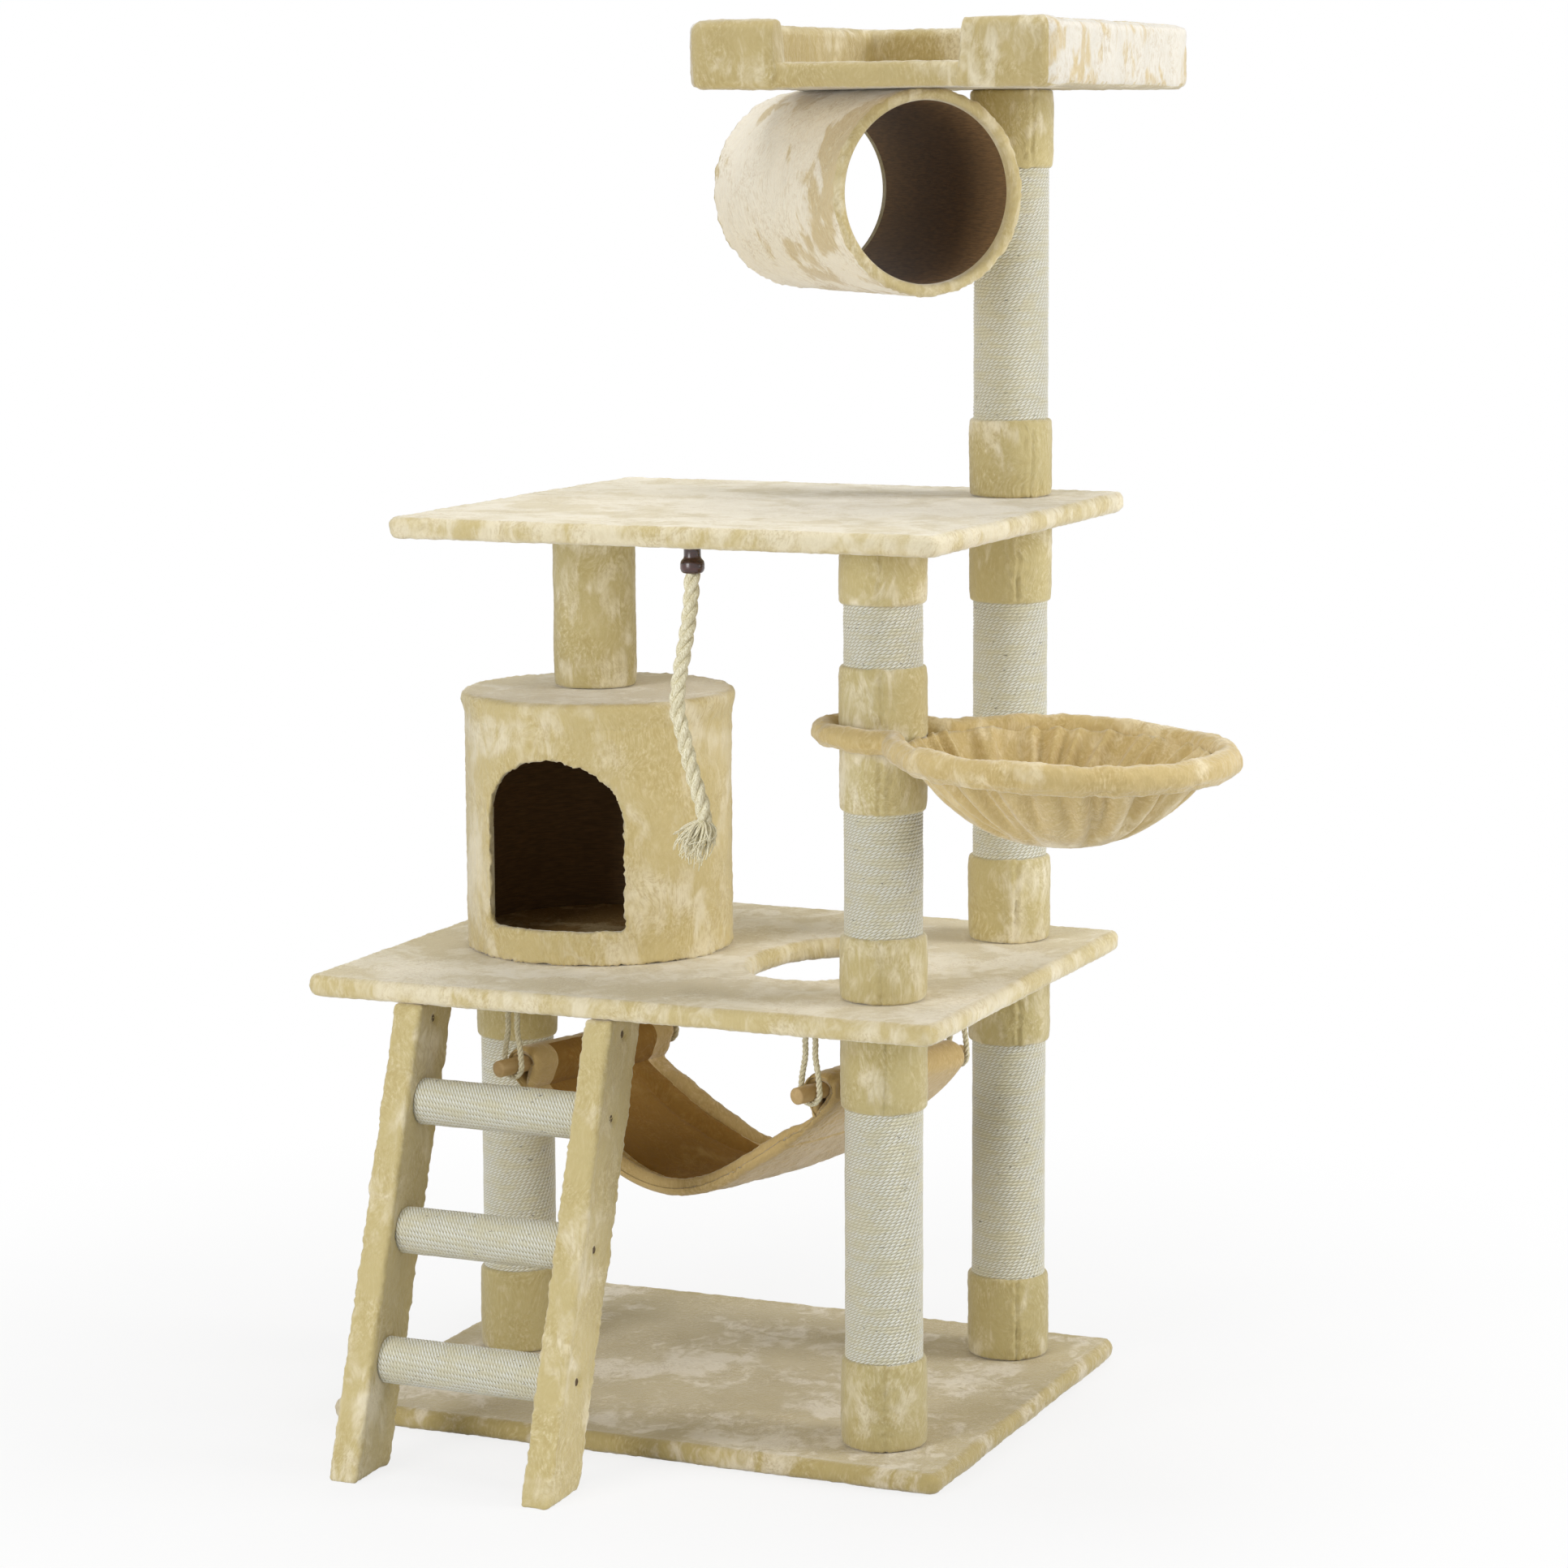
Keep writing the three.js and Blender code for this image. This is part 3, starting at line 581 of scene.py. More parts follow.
MATERIAL |= {
    "twine": twine(),
    "rope": strand_fibre("sisal_strands", rgb(255, 250, 224), rgb(196, 184, 138)),
    "frayed": strand_fibre("frayed_sisal", rgb(255, 250, 226), rgb(226, 216, 176), 0.15),
    "cotton": strand_fibre("cotton_strands", rgb(236, 230, 204), rgb(190, 180, 142)),
    "card": cardboard(),
    "dowel": wood("raw_pine", rgb(206, 180, 132), rgb(176, 146, 96), 0.6, along=(1, 0.25, 1)),
    "cap": wood("dark_varnished_wood", rgb(74, 34, 28), rgb(40, 16, 14), 0.25, coat=0.6),
    "steel": metal("zinc_plated_steel", rgb(176, 176, 172)),
    "screw": metal("dulled_steel", rgb(120, 104, 86)),
}

# ---------------------------------------------------------------- rope toy: the free cord comes first
TOY_ROUTE_MM = [
    (0, 0, 5), (-1, -0.5, -8), (-1.6, -0.7, -23), (-4.5, -2, -50), (-8.6, -3.7, -76), (-13, -5.6, -103),
    (-15.6, -6.8, -125), (-15.7, -6.8, -147), (-11.7, -5, -166), (-7.3, -3.2, -187), (-2.5, -1, -209),
    (3.2, 1.4, -231), (8, 3.5, -249), (9.4, 4, -262), (8.6, 3.6, -271),
]
TOY_RADIUS, TOY_PITCH, TUFT_STRANDS = 8.5 * MM, 54 * MM, 150


def spline(points, step):
    """A smooth line through the points, resampled at an even step."""
    padded = np.vstack([2 * points[0] - points[1], points, 2 * points[-1] - points[-2]])
    fine = []
    for p0, p1, p2, p3 in zip(padded, padded[1:], padded[2:], padded[3:]):
        t = np.linspace(0, 1, 24, endpoint=False)[:, None]
        fine.append(0.5 * (
            2 * p1 + (p2 - p0) * t + (2 * p0 - 5 * p1 + 4 * p2 - p3) * t**2
            + (3 * p1 - p0 - 3 * p2 + p3) * t**3
        ))
    return resample(np.vstack([*fine, points[-1:]]), step)


def line_sides(line, closed):
    """Two steady side directions at each point of a line."""
    tangent = unit(np.roll(line, -1, 0) - np.roll(line, 1, 0) if closed else np.gradient(line, axis=0))
    side = np.zeros_like(line)
    side[0] = unit(np.cross(tangent[0], [0.3, 0.2, 1.0] if abs(tangent[0][2]) < 0.9 else [1.0, 0.2, 0.1]))
    for i in range(1, len(line)):
        side[i] = unit(side[i - 1] - tangent[i] * (side[i - 1] @ tangent[i]))
    return side, np.cross(tangent, side)


def tube_part(line, radius, sides, closed=False):
    """One tube as (points, quads, triangles); its radius may change along it."""
    side, other = (direction[:, None] for direction in line_sides(line, closed))
    angle = angles(sides)[:, None]
    radius = np.broadcast_to(radius, len(line))[:, None, None]
    return skin(line[:, None] + radius * (side * np.cos(angle) + other * np.sin(angle)), closed)


def laid_rope(line, radius, pitch, sides, closed=False, fuzz=0.0):
    """Three strands that twist round a line, as parts. A closed rope takes a whole number of turns."""
    side, other = line_sides(line, closed)
    length = lengths(line)
    turn = TURN * length / pitch
    if closed:
        loop = length[-1] + np.linalg.norm(line[0] - line[-1])
        turn = TURN * max(1, round(loop / pitch)) * length / loop
        turn = turn + closing_twist(line, side, other) * length / loop
    strand = radius / (1 + 1 / math.sin(math.pi / 3))
    parts = []
    for k in range(3):
        angle = (turn + TURN * k / 3)[:, None]
        path = line + (radius - strand) * (side * np.cos(angle) + other * np.sin(angle))
        thick = strand * 1.08 * (1 + fuzz * wobble(length + k, 7 * MM, k))
        parts.append(tube_part(path, thick, sides, closed))
    return merge(parts)


def closing_twist(line, side, other):
    """How far a carried frame has turned by the time that a closed line comes back to its start."""
    tangent = unit(line[0] - line[-1])
    carried = unit(side[-1] - tangent * (side[-1] @ tangent))
    return -math.atan2(carried @ other[0], carried @ side[0])


def tuft_strand(rng, end, down):
    """One loose strand of the frayed end: it fans out, sways and hangs."""
    turn = rng.uniform(0, TURN)
    out = np.array([math.cos(turn), math.sin(turn), 0.0])
    spread = rng.uniform(0.05, 1.0)
    length = rng.uniform(26, 58) * MM * (1 - 0.25 * spread)
    t = np.linspace(0, 1, 11)[:, None]
    curl = np.array([math.cos(turn + 1.6), math.sin(turn + 1.6), 0.0]) * rng.normal(0, 1)
    waves = np.sin(rng.uniform(5, 9) * t + rng.uniform(0, 6)) * t
    start = end - down * 7 * MM + out * 5.5 * MM * rng.uniform(0.2, 1)
    lean = np.array([-10, -4, 0]) * MM
    path = start - UP * length * t + lean * t + out * (21 * MM * spread) * (1 - np.exp(-3.5 * t))
    path = path + curl * 5 * MM * np.sin(3.2 * t) + (out - curl) * 2.2 * MM * waves
    return tube_part(path + UP * 9 * MM * spread * t**2, np.linspace(1.15, 0.5, 11) * MM, 4)


def make_toy_rope():
    line = spline(pivot_of("toy_swing") + MM * np.array(TOY_ROUTE_MM, float), 1.6 * MM)
    rope = mesh_piece("rope_toy", *laid_rope(line, TOY_RADIUS, TOY_PITCH, 12, fuzz=0.05))
    finish_piece(rope, "rope", "toy", ["toy_rope"])
    rng = np.random.default_rng(11)
    strands = [tuft_strand(rng, line[-1], unit(line[-1] - line[-6])) for _ in range(TUFT_STRANDS)]
    tuft = finish_piece(mesh_piece("rope_toy_tuft", *merge(strands)), "frayed", "toy")


make_toy_rope()


# ---------------------------------------------------------------- stage and light
def make_floor():
    """A plain pale floor that fades into the pale surroundings away from the tree."""
    size = 30.0
    corners = [(-size, -size, 0), (size, -size, 0), (size, size, 0), (-size, size, 0)]
    floor = mesh_piece("floor", corners, [(0, 1, 2, 3)])
    g = Graph("studio_floor")
    place = g.place()
    grain = g.noise(place, 3.0, 2.0)
    plain = g.mix(g.between(grain, 0.3, 0.7), rgb(226, 226, 226), rgb(230, 230, 230))
    g.finish(Base_Color=plain, Roughness=0.9, Specular_IOR_Level=0.0)
    rays = g.add("LightPath").outputs
    seen = g.math("MAXIMUM", rays["Is Camera Ray"], rays["Is Glossy Ray"])
    seen = g.math("MAXIMUM", seen, rays["Is Transmission Ray"])
    reach = g.add("VectorMath", {0: place}, operation="LENGTH").outputs["Value"]
    share = g.times(seen, g.between(reach, 0.5, 1.5, 0.80, 1.0))
    glow = g.add("Emission", {"Color": (1.0, 1.0, 1.0), "Strength": 1.0})
    blend = g.add("MixShader", {0: share, 1: g.shader.outputs[0], 2: glow.outputs[0]})
    g.tree.links.new(blend.outputs[0], g.output.inputs[0])
    floor.data.materials.append(g.material)


def make_world():
    """White surroundings that light the tree less than they show."""
    world = bpy.data.worlds.new("studio")
    bpy.context.scene.world = world
    world.use_nodes = True
    nodes, link = world.node_tree.nodes, world.node_tree.links.new
    nodes["Background"].inputs["Color"].default_value = (1, 1, 1, 1)
    path = nodes.new("ShaderNodeLightPath").outputs
    seen = nodes.new("ShaderNodeMath")
    seen.operation = "MAXIMUM"
    link(path["Is Camera Ray"], seen.inputs[0])
    link(path["Is Glossy Ray"], seen.inputs[1])
    strength = nodes.new("ShaderNodeMapRange")
    link(seen.outputs[0], strength.inputs["Value"])
    strength.inputs["To Min"].default_value = 0.34
    strength.inputs["To Max"].default_value = 1.0
    link(strength.outputs["Result"], nodes["Background"].inputs["Strength"])


def add_softbox(name, place, size, power):
    """A soft rectangular light that faces the middle of the tree."""
    light = bpy.data.lights.new(name, "AREA")
    light.shape = "RECTANGLE"
    light.size, light.size_y = size
    light.energy = power
    lamp = bpy.data.objects.new(name, light)
    lamp.location = place
    lamp.rotation_mode = "QUATERNION"
    lamp.rotation_quaternion = (Vector((0.0, 0.0, 0.8)) - Vector(place)).to_track_quat("-Z", "Y")
    bpy.context.scene.collection.objects.link(lamp)


make_floor()
make_world()
add_softbox("key_light", (3.6, 0.8, 2.0), (1.6, 2.4), 92)
add_softbox("side_light", (-1.3, -3.9, 1.5), (1.6, 2.2), 74)
add_softbox("top_light", (0.3, -0.2, 5.4), (2.6, 2.6), 92)
add_softbox("back_light", (-1.4, 3.2, 2.4), (2.2, 1.6), 24)


# ---------------------------------------------------------------- boards
def wrapped_board(node, material, seed, hole=None):
    """A plush-wrapped plate with soft edges. A hole is (centre, half sizes) of an ellipse."""
    low, high, middle, half = plan(node)
    stops = [even_stops(h - BOARD_CORNER - 22 * MM, 4 * MM) for h in half]
    inner_inset = 18 * MM
    rim = edge_profile(low[2], high[2], BOARD_EDGE)

    def outer(inset, z):
        ring = rounded_ring(half - inset, max(BOARD_CORNER - inset, 6 * MM), stops)
        return at_height(middle + ring, z)

    last = outer(inner_inset, 0)[:, :2]
    if hole is None:
        inner = middle + (last - middle) * 0.03
    else:
        place, size = hole
        away = unit((last - place) / size)
        inner = place + away * (size + inner_inset)
    shares = (np.arange(1, 15) / 15) ** 1.15
    flats = [*(last + (inner - last) * share for share in shares), inner]
    insets = (13 * MM, inner_inset)
    over = [outer(inset, z) for inset, z in rim] + [outer(inset, high[2]) for inset in insets]
    over += [at_height(flat, high[2]) for flat in flats]
    under = [at_height(flat, low[2]) for flat in flats[::-1]]
    under += [outer(inset, low[2]) for inset in insets[::-1]]
    if hole is None:
        rows = under + over
    else:
        rows = over + [at_height(place + away * (size + inset), z) for inset, z in rim[::-1]] + under
    piece = grid_piece("plush_" + node, np.stack(rows), wrap_rows=hole is not None)
    soften_board(piece, low, high, hole, seed)
    return finish_piece(piece, material, "tower", [node])


def soften_board(piece, low, high, hole, seed):
    """Tufts along the rims, a raised line where the top's nap meets the side's, slow waves elsewhere."""
    points = coordinates(piece)
    to_edge = np.minimum(points - low, high - points)[:, :2].min(1)
    if hole is not None:
        reach = np.linalg.norm((points[:, :2] - hole[0]) / hole[1], axis=1) - 1
        to_edge = np.minimum(to_edge, np.maximum(reach, 0) * hole[1].min())
    inside = np.maximum(to_edge, 0)
    near = bell(inside, 14 * MM, 1)
    ridge = bell(to_edge - 5 * MM, 3.5 * MM) * (points[:, 2] > (low + high)[2] / 2)
    slow = noise(points, 60 * MM, seed + 2)
    amount = near * 0.8 * MM * tufts(points, seed, 3.5 * MM) + 0.5 * MM * slow * near + 0.25 * MM * slow
    amount = amount + 1.6 * MM * bell(inside, 4 * MM, 1)
    push_out(piece, amount + ridge * (0.9 + 0.6 * noise(points, 12 * MM, seed + 3)) * MM)


opening = next(o for o in frame["record"]["physics"]["openings"] if o["name"] == "board_hole")
# The base board takes the darker plush, which is painted shade.
wrapped_board("base_board", "base", 21)
wrapped_board("middle_board", "board", 31, hole=(np.mean(opening["box_m"], axis=0)[:2], HOLE_HALF))
wrapped_board("upper_board", "upper", 41)

# ---------------------------------------------------------------- posts
# For each post, where the seam of its sleeves faces in degrees, and its bands from the foot up.
PLAIN_BANDS = ("sleeve_bottom", "sisal", "sleeve_top")
POSTS = {
    "front_lower": (-66, PLAIN_BANDS),
    "back_right_lower": (-56, PLAIN_BANDS),
    "back_left_lower": (100, PLAIN_BANDS),
    "back_right_middle": (-60, PLAIN_BANDS),
    "back_right_top": (-40, PLAIN_BANDS),
    "front_upper": (-72, ("sleeve_bottom", "sisal_below", "sleeve_middle", "sisal_above", "sleeve_top")),
    "condo_post": (60, ("sleeve",)),
}


def sleeve_profile(z0, z1, outer):
    """(radius, z) down the outside of a sleeve with soft rims, then the inside."""
    rim = 4.5 * MM
    lower = [(outer - inset, z0 + rise) for inset, rise in quarter_round(rim, 5)]
    straight = [(outer, z) for z in np.arange(z0 + rim + 3 * MM, z1 - rim - 1.5 * MM, 3 * MM)]
    upper = [(radius, z0 + z1 - z) for radius, z in lower[::-1]]
    return [(SLEEVE_INNER, z0), *lower, *straight, *upper, (SLEEVE_INNER, z1)]


def make_sleeve(node, seam_turn, seed):
    low, high, centre, half = plan(node)
    outer, seam_turn = half[0], math.radians(seam_turn)
    profile = np.array(sleeve_profile(low[2], high[2], outer))
    angle = angles(132)
    wander = 1.6 * MM / outer * wobble(profile[:, 1], 22 * MM, seed)
    arc = (wrapped(angle[None] - seam_turn) - wander[:, None]) * outer
    radius, z = (np.broadcast_to(column[:, None], arc.shape) for column in profile.T)
    seam = 0.9 * MM * bell(np.abs(arc) - 4.5 * MM, 4 * MM) * (1 + 0.8 * wobble(z, 6 * MM, seed + 3))
    seam -= 2.2 * MM * bell(arc, 1.4 * MM) * (0.6 + 0.4 * wobble(z, 15 * MM, seed + 4))
    seam += 0.8 * MM * off_ends(z, low[2], high[2], 16 * MM)
    radius = radius + np.where(radius > outer - 3 * MM, seam, 0)
    piece = grid_piece("plush_" + node, at_height(round_points(centre, radius, angle), z), wrap_rows=True)
    local = coordinates(piece)
    x, y = (local[:, :2] - centre).T
    from_seam = wrapped(np.arctan2(y, x) - seam_turn) * outer
    ruffled = 0.5 + 1.3 * bell(from_seam + 2 * MM * noise(local, 20 * MM, seed), 17 * MM, 4)
    pile = 0.6 * MM * ruffled * tufts(local, seed, coarse=7 * MM) + 0.7 * MM * noise(local, 38 * MM, seed + 2)
    push_out(piece, np.where(np.hypot(x, y) > outer - 5 * MM, pile, 0))
    # The lower sleeves get the darker copy of the sleeve plush, which is painted shade.
    finish_piece(piece, "shaded_low_sleeve" if "_lower_" in node else "sleeve", "tower", [node])


def wound_twine(name, origin, axis, length, outer, replaced, seed):
    """Twine wound in a close helix round a post or rung, with a UV that runs along the twine."""
    axis = np.asarray(axis, float)
    side = unit(np.cross(axis, EAST if abs(axis[2]) > 0.9 else [0.21, 0.13, 0.97]))
    other = np.cross(axis, side)
    columns, per_turn = 60, len(TWINE_SECTION)
    turns = round(length / TWINE_PITCH) + 1
    row = np.arange(turns * per_turn + 1)[:, None]
    angle = angles(columns)[None]
    along = (row / per_turn + angle / TURN - 1) * length / (turns - 1)
    spot = at_height(round_points((0, 0), outer, angle + 0 * row), along)
    slack = 0.9 * noise(spot, 34 * MM, seed) + 0.35 * noise(spot, 11 * MM, seed + 1)
    along = np.clip(along + off_ends(along, 0, length, 14 * MM) * slack * MM, 0, length)
    loose = np.maximum(noise(spot * [1, 1, 2.5], 16 * MM, seed + 2) - 0.35, 0)
    valley = (0.5 + 1.2 * loose) * MM * (row % per_turn == 0)
    depth = TWINE_DEPTH * (1 - TWINE_SECTION[row % per_turn]) + valley
    radius = outer - depth + 0.3 * MM * noise(spot, 13 * MM, seed + 5)
    across, up = radius * np.cos(angle), radius * np.sin(angle)
    points = np.asarray(origin) + axis * along[..., None] + side * across[..., None] + other * up[..., None]
    index = np.arange(along.size).reshape(along.shape)
    onward = np.vstack([index[per_turn:, :1], np.full((per_turn, 1), -1)])
    quads = quads_of(np.hstack([index, onward]))
    whole = (quads >= 0).all(-1)
    r, c = np.indices(whole.shape)
    u, v = TURN * outer * (r // per_turn + c / columns), (r % per_turn) / per_turn
    ahead, above = u + TURN * outer / columns, v + 1 / per_turn
    uv = np.stack([u, v, ahead, v, ahead, above, u, above], -1)[whole].reshape(-1, 2)
    low_loop = np.concatenate([index[0], index[per_turn:0:-1, 0]])
    high_loop = np.concatenate([index[-1], index[-2:-per_turn - 2:-1, -1]])
    flat = np.vstack([points.reshape(-1, 3), origin, np.asarray(origin) + axis * length])
    tips = np.vstack([fan(low_loop, along.size), fan(high_loop, along.size + 1)])
    finish_piece(mesh_piece(name, flat, quads[whole], tips, uv), "twine", "tower", replaced)


def make_posts():
    seed = 100
    for post, (seam_turn, bands) in POSTS.items():
        for band in bands:
            seed += 7
            node = f"{post}_{band}"
            if band.startswith("sleeve"):
                make_sleeve(node, seam_turn, seed)
                continue
            low, high, centre, half = plan(node)
            foot, length = [*centre, low[2] - TWINE_TUCK], high[2] - low[2] + 2 * TWINE_TUCK
            wound_twine("twine_" + node, foot, UP, length, half[0], [node], seed)


make_posts()

# ---------------------------------------------------------------- top tray
TRAY_WALL, TRAY_CORNER, TRAY_LIP, TRAY_FLOOR = 30 * MM, 16 * MM, 27 * MM, 18 * MM
TRAY_HALF_GAP, TRAY_EDGE, TRAY_RIM = 106 * MM, 9 * MM, 11 * MM


def tray_rows(half, z0, z1):
    """The tray's skin about its middle: under it, up its outside, over the rim, down and across."""
    run = half - TRAY_WALL - TRAY_CORNER - 6 * MM
    dense = np.arange(-9, 9.1, 1.2) * MM
    x_stops = np.concatenate([even_stops(run[0], 4 * MM), TRAY_HALF_GAP + dense, -TRAY_HALF_GAP + dense])
    x_stops = np.unique(np.round(x_stops, 6))
    stops = [x_stops[np.abs(x_stops) <= run[0]], even_stops(run[1], 4 * MM)]

    def ring(inset, z, scale=1):
        flat = rounded_ring(half - inset, max(TRAY_CORNER - inset, 9 * MM), stops)
        return at_height(flat * scale, z)

    outline = ring(0, 0)
    closed = smooth(np.abs(outline[:, 0]), TRAY_HALF_GAP - 2 * MM, TRAY_HALF_GAP + 4 * MM)
    open_share = np.where(outline[:, 1] < -half[1] + 1 * MM, 1 - closed, 0)
    top = z1 - open_share * (z1 - z0 - TRAY_LIP)
    floor, brim = z0 + TRAY_FLOOR, top - TRAY_RIM
    walled = z0 + TRAY_EDGE
    scales = np.linspace(1, 0.03, 14)
    rows = [ring(26 * MM, z0, scale) for scale in scales[::-1]] + [ring(16 * MM, z0)]
    rows += [ring(inset, z0 + rise) for inset, rise in quarter_round(TRAY_EDGE, 6)]
    rows += [ring(0, walled + s * (brim - walled)) for s in np.linspace(0, 1, 14)[1:-1]]
    rows += [ring(inset, top - drop) for drop, inset in quarter_round(TRAY_RIM, 6)]
    rows += [ring(TRAY_WALL / 2, top + 0.4 * MM)]
    rows += [ring(TRAY_WALL - inset, top - drop) for inset, drop in quarter_round(TRAY_RIM, 6)]
    rows += [ring(TRAY_WALL, brim + s * (floor + 4 * MM - brim)) for s in np.linspace(0, 1, 9)[1:]]
    rows += [ring(TRAY_WALL + 2 * MM, floor + 1 * MM)]
    return rows + [ring(TRAY_WALL + 8 * MM, floor, scale) for scale in scales]


def front_dent(across, up, front):
    """A swirled dimple in the middle of a corner block's front face."""
    spot = np.hypot(across, 0.75 * up)
    swirl = np.sin(3 * np.arctan2(up, across) + spot / (4 * MM))
    return (2.4 + 0.8 * swirl) * MM * bell(spot, 13 * MM) * front


def make_tray():
    low, high, middle, half = plan("perch_tray")
    points = np.stack(tray_rows(half, low[2], high[2]))
    points[..., :2] += middle
    piece = grid_piece("plush_perch_tray", points)
    local = coordinates(piece)
    x, y = (local[:, :2] - middle).T
    block = smooth(np.abs(x), TRAY_HALF_GAP, TRAY_HALF_GAP + 6 * MM) * (y < -half[1] + TRAY_WALL + 2 * MM)
    low_bar = 1 - smooth(np.abs(x), TRAY_HALF_GAP - 4 * MM, TRAY_HALF_GAP + 2 * MM)
    low_bar = low_bar * (y < -half[1] + 2 * MM)
    outside = np.maximum(np.abs(x) - half[0], np.abs(y) - half[1]) > -TRAY_WALL - 3 * MM
    amount = outside * (0.7 * MM * tufts(local, 61, coarse=9 * MM)) + 0.9 * MM * noise(local, 50 * MM, 63)
    amount = amount + 1.6 * MM * block + 1.8 * MM * (np.abs(x) > half[0] - 3 * MM) - 1.0 * MM * low_bar
    up = local[:, 2] - (low + high)[2] / 2 - 3 * MM
    for side in (-1, 1):
        across = x - side * ((TRAY_HALF_GAP + half[0]) / 2 - 4 * MM)
        amount = amount - front_dent(across, up, y < -half[1] + 3 * MM)
    push_out(piece, amount)
    finish_piece(piece, "perch flank", "tower", ["perch_tray"])
    # The tray's side faces get the paler copy, which is a painted highlight.
    mark_faces(piece, lambda spot, out: (
        (np.abs(spot[:, 0] - middle[0]) > half[0] - 8 * MM)
        & (spot[:, 1] > middle[1] - half[1] + 4 * MM) & (out[:, 2] > -0.5)
    ))


make_tray()

# ---------------------------------------------------------------- condo
CONDO_WALL = 12 * MM
DOOR_HALF, DOOR_SILL, DOOR_SHOULDER, DOOR_RISE = 81.5 * MM, 39 * MM, 167 * MM, 66.5 * MM
DOOR_TURN = math.radians(3.6)
WALL_CELL = 3.2 * MM
ROOF_LAP_MM = [(-8, 13), (-1.5, 13), (0.2, 10), (0.8, 6), (2, 1)]
DEN_FLOOR_DROP = 12 * MM


def modify(piece, kind, **settings):
    """Applies one modifier to a piece's mesh."""
    modifier = piece.modifiers.new(kind, kind)
    for key, value in settings.items():
        setattr(modifier, key, value)
    graph = bpy.context.evaluated_depsgraph_get()
    made = bpy.data.meshes.new_from_object(piece.evaluated_get(graph))
    piece.modifiers.clear()
    old = piece.data
    piece.data = made
    bpy.data.meshes.remove(old)


def door_outline():
    """The arched door as (across, up) pairs."""
    turns = np.linspace(0, math.pi, 25)
    arch = [(DOOR_HALF * math.cos(a), DOOR_SHOULDER + DOOR_RISE * math.sin(a)) for a in turns]
    return np.array([(-DOOR_HALF, DOOR_SILL), (DOOR_HALF, DOOR_SILL), *arch])


def make_condo_wall():
    """A rolled wall with the doorway cut through it, wrapped in plush that ruffles at its edges."""
    low, high, centre, half = plan("condo_wall")
    outer, inner, foot = half[0], half[0] - CONDO_WALL, low[2]
    corners = [(inner, foot), (outer, foot), (outer, high[2]), (inner, high[2])]
    shell = grid_piece("plush_condo_wall", upright(corners, centre, 160), wrap_rows=True)
    facing = np.array([math.sin(DOOR_TURN), -math.cos(DOOR_TURN)])
    across = np.array([math.cos(DOOR_TURN), math.sin(DOOR_TURN)])
    outline = door_outline()
    cutter = grid_piece("door_cutter", np.stack([
        at_height(centre + across * outline[:, :1] + facing * reach, foot + outline[:, 1])
        for reach in (outer * 0.4, outer * 1.3)
    ]))
    modify(shell, "BOOLEAN", operation="DIFFERENCE", solver="EXACT", object=cutter)
    bpy.data.objects.remove(cutter)
    modify(shell, "REMESH", mode="VOXEL", voxel_size=WALL_CELL)
    modify(shell, "SMOOTH", factor=0.5, iterations=4)
    shade_smooth(shell.data)
    points = coordinates(shell)
    from_axis, lift = points[:, :2] - centre, points[:, 2] - foot
    out = smooth(np.linalg.norm(from_axis, axis=1), inner + 2 * MM, inner + 6 * MM)
    x, front = from_axis @ across, from_axis @ facing
    arch = DOOR_SHOULDER + DOOR_RISE * np.sqrt(np.clip(1 - (x / (DOOR_HALF + MM / 1000)) ** 2, 0, 1))
    past = np.maximum.reduce([np.abs(x) - DOOR_HALF, DOOR_SILL - lift, lift - arch])
    rim = bell(np.maximum(past, 0), 9 * MM) * (front > 0)
    pile = tufts(points, 71, 3.4 * MM)
    cloth = (0.6 + 1.1 * bell(lift, 9 * MM)) * MM * pile + 0.8 * MM * noise(points, 45 * MM, 73)
    push_out(shell, out * cloth + rim * (0.3 * MM + 1.5 * MM * pile) * out)
    finish_piece(shell, "condo card", "tower", ["condo_wall"])
    mark_faces(shell, lambda spot, out: np.linalg.norm(spot[:, :2] - centre, axis=1) < inner + 2.5 * MM)


def make_condo_roof():
    """The roof's cloth, which laps down over the top of the wall."""
    low, high, centre, half = plan("condo_roof")
    bottom, top, radius, wall = low[2], high[2], half[0], plan("condo_wall")[3][0]
    profile = [(radius * s, bottom + 2 * MM) for s in (0.02, 0.3, 0.6, 0.8)]
    profile += [(wall + out * MM, bottom - drop * MM) for out, drop in ROOF_LAP_MM]
    profile += [(radius - i, z) for i, z in edge_profile(bottom - 3 * MM, top, 7 * MM)[6:]]
    profile += [(radius - i * MM, top) for i in (12, 17, 24, 34, 48, 64, 82, 100, 120, 140)]
    profile += [(radius * 0.02, top)]
    roof = grid_piece("plush_condo_roof", upright(profile, centre, 220))
    points = coordinates(roof)
    rim = smooth(np.linalg.norm(points[:, :2] - centre, axis=1), radius - 26 * MM, radius - 6 * MM)
    push_out(roof, rim * 1.1 * MM * tufts(points, 81, 3.4 * MM) + 0.7 * MM * noise(points, 50 * MM, 83))
    finish_piece(roof, "condo", "tower", ["condo_roof"])


def make_condo_floor():
    low, high, centre, half = plan("condo_floor")
    radius, top = half[0], high[2] - DEN_FLOOR_DROP
    profile = [(radius * s, low[2]) for s in (0.02, 0.5, 0.9)]
    profile += [(radius - i, z) for i, z in edge_profile(low[2], top, 7 * MM)]
    profile += [(radius * s, top) for s in (0.9, 0.82, 0.7, 0.55, 0.4, 0.2, 0.02)]
    floor = grid_piece("plush_condo_floor", upright(profile, centre, 160))
    points = coordinates(floor)
    push_out(floor, 0.4 * MM * tufts(points, 91, 4 * MM, 9 * MM, 0.7) + 1.0 * MM * noise(points, 55 * MM, 93))
    finish_piece(floor, "den_floor", "tower", ["condo_floor"])


make_condo_wall()
make_condo_roof()
make_condo_floor()

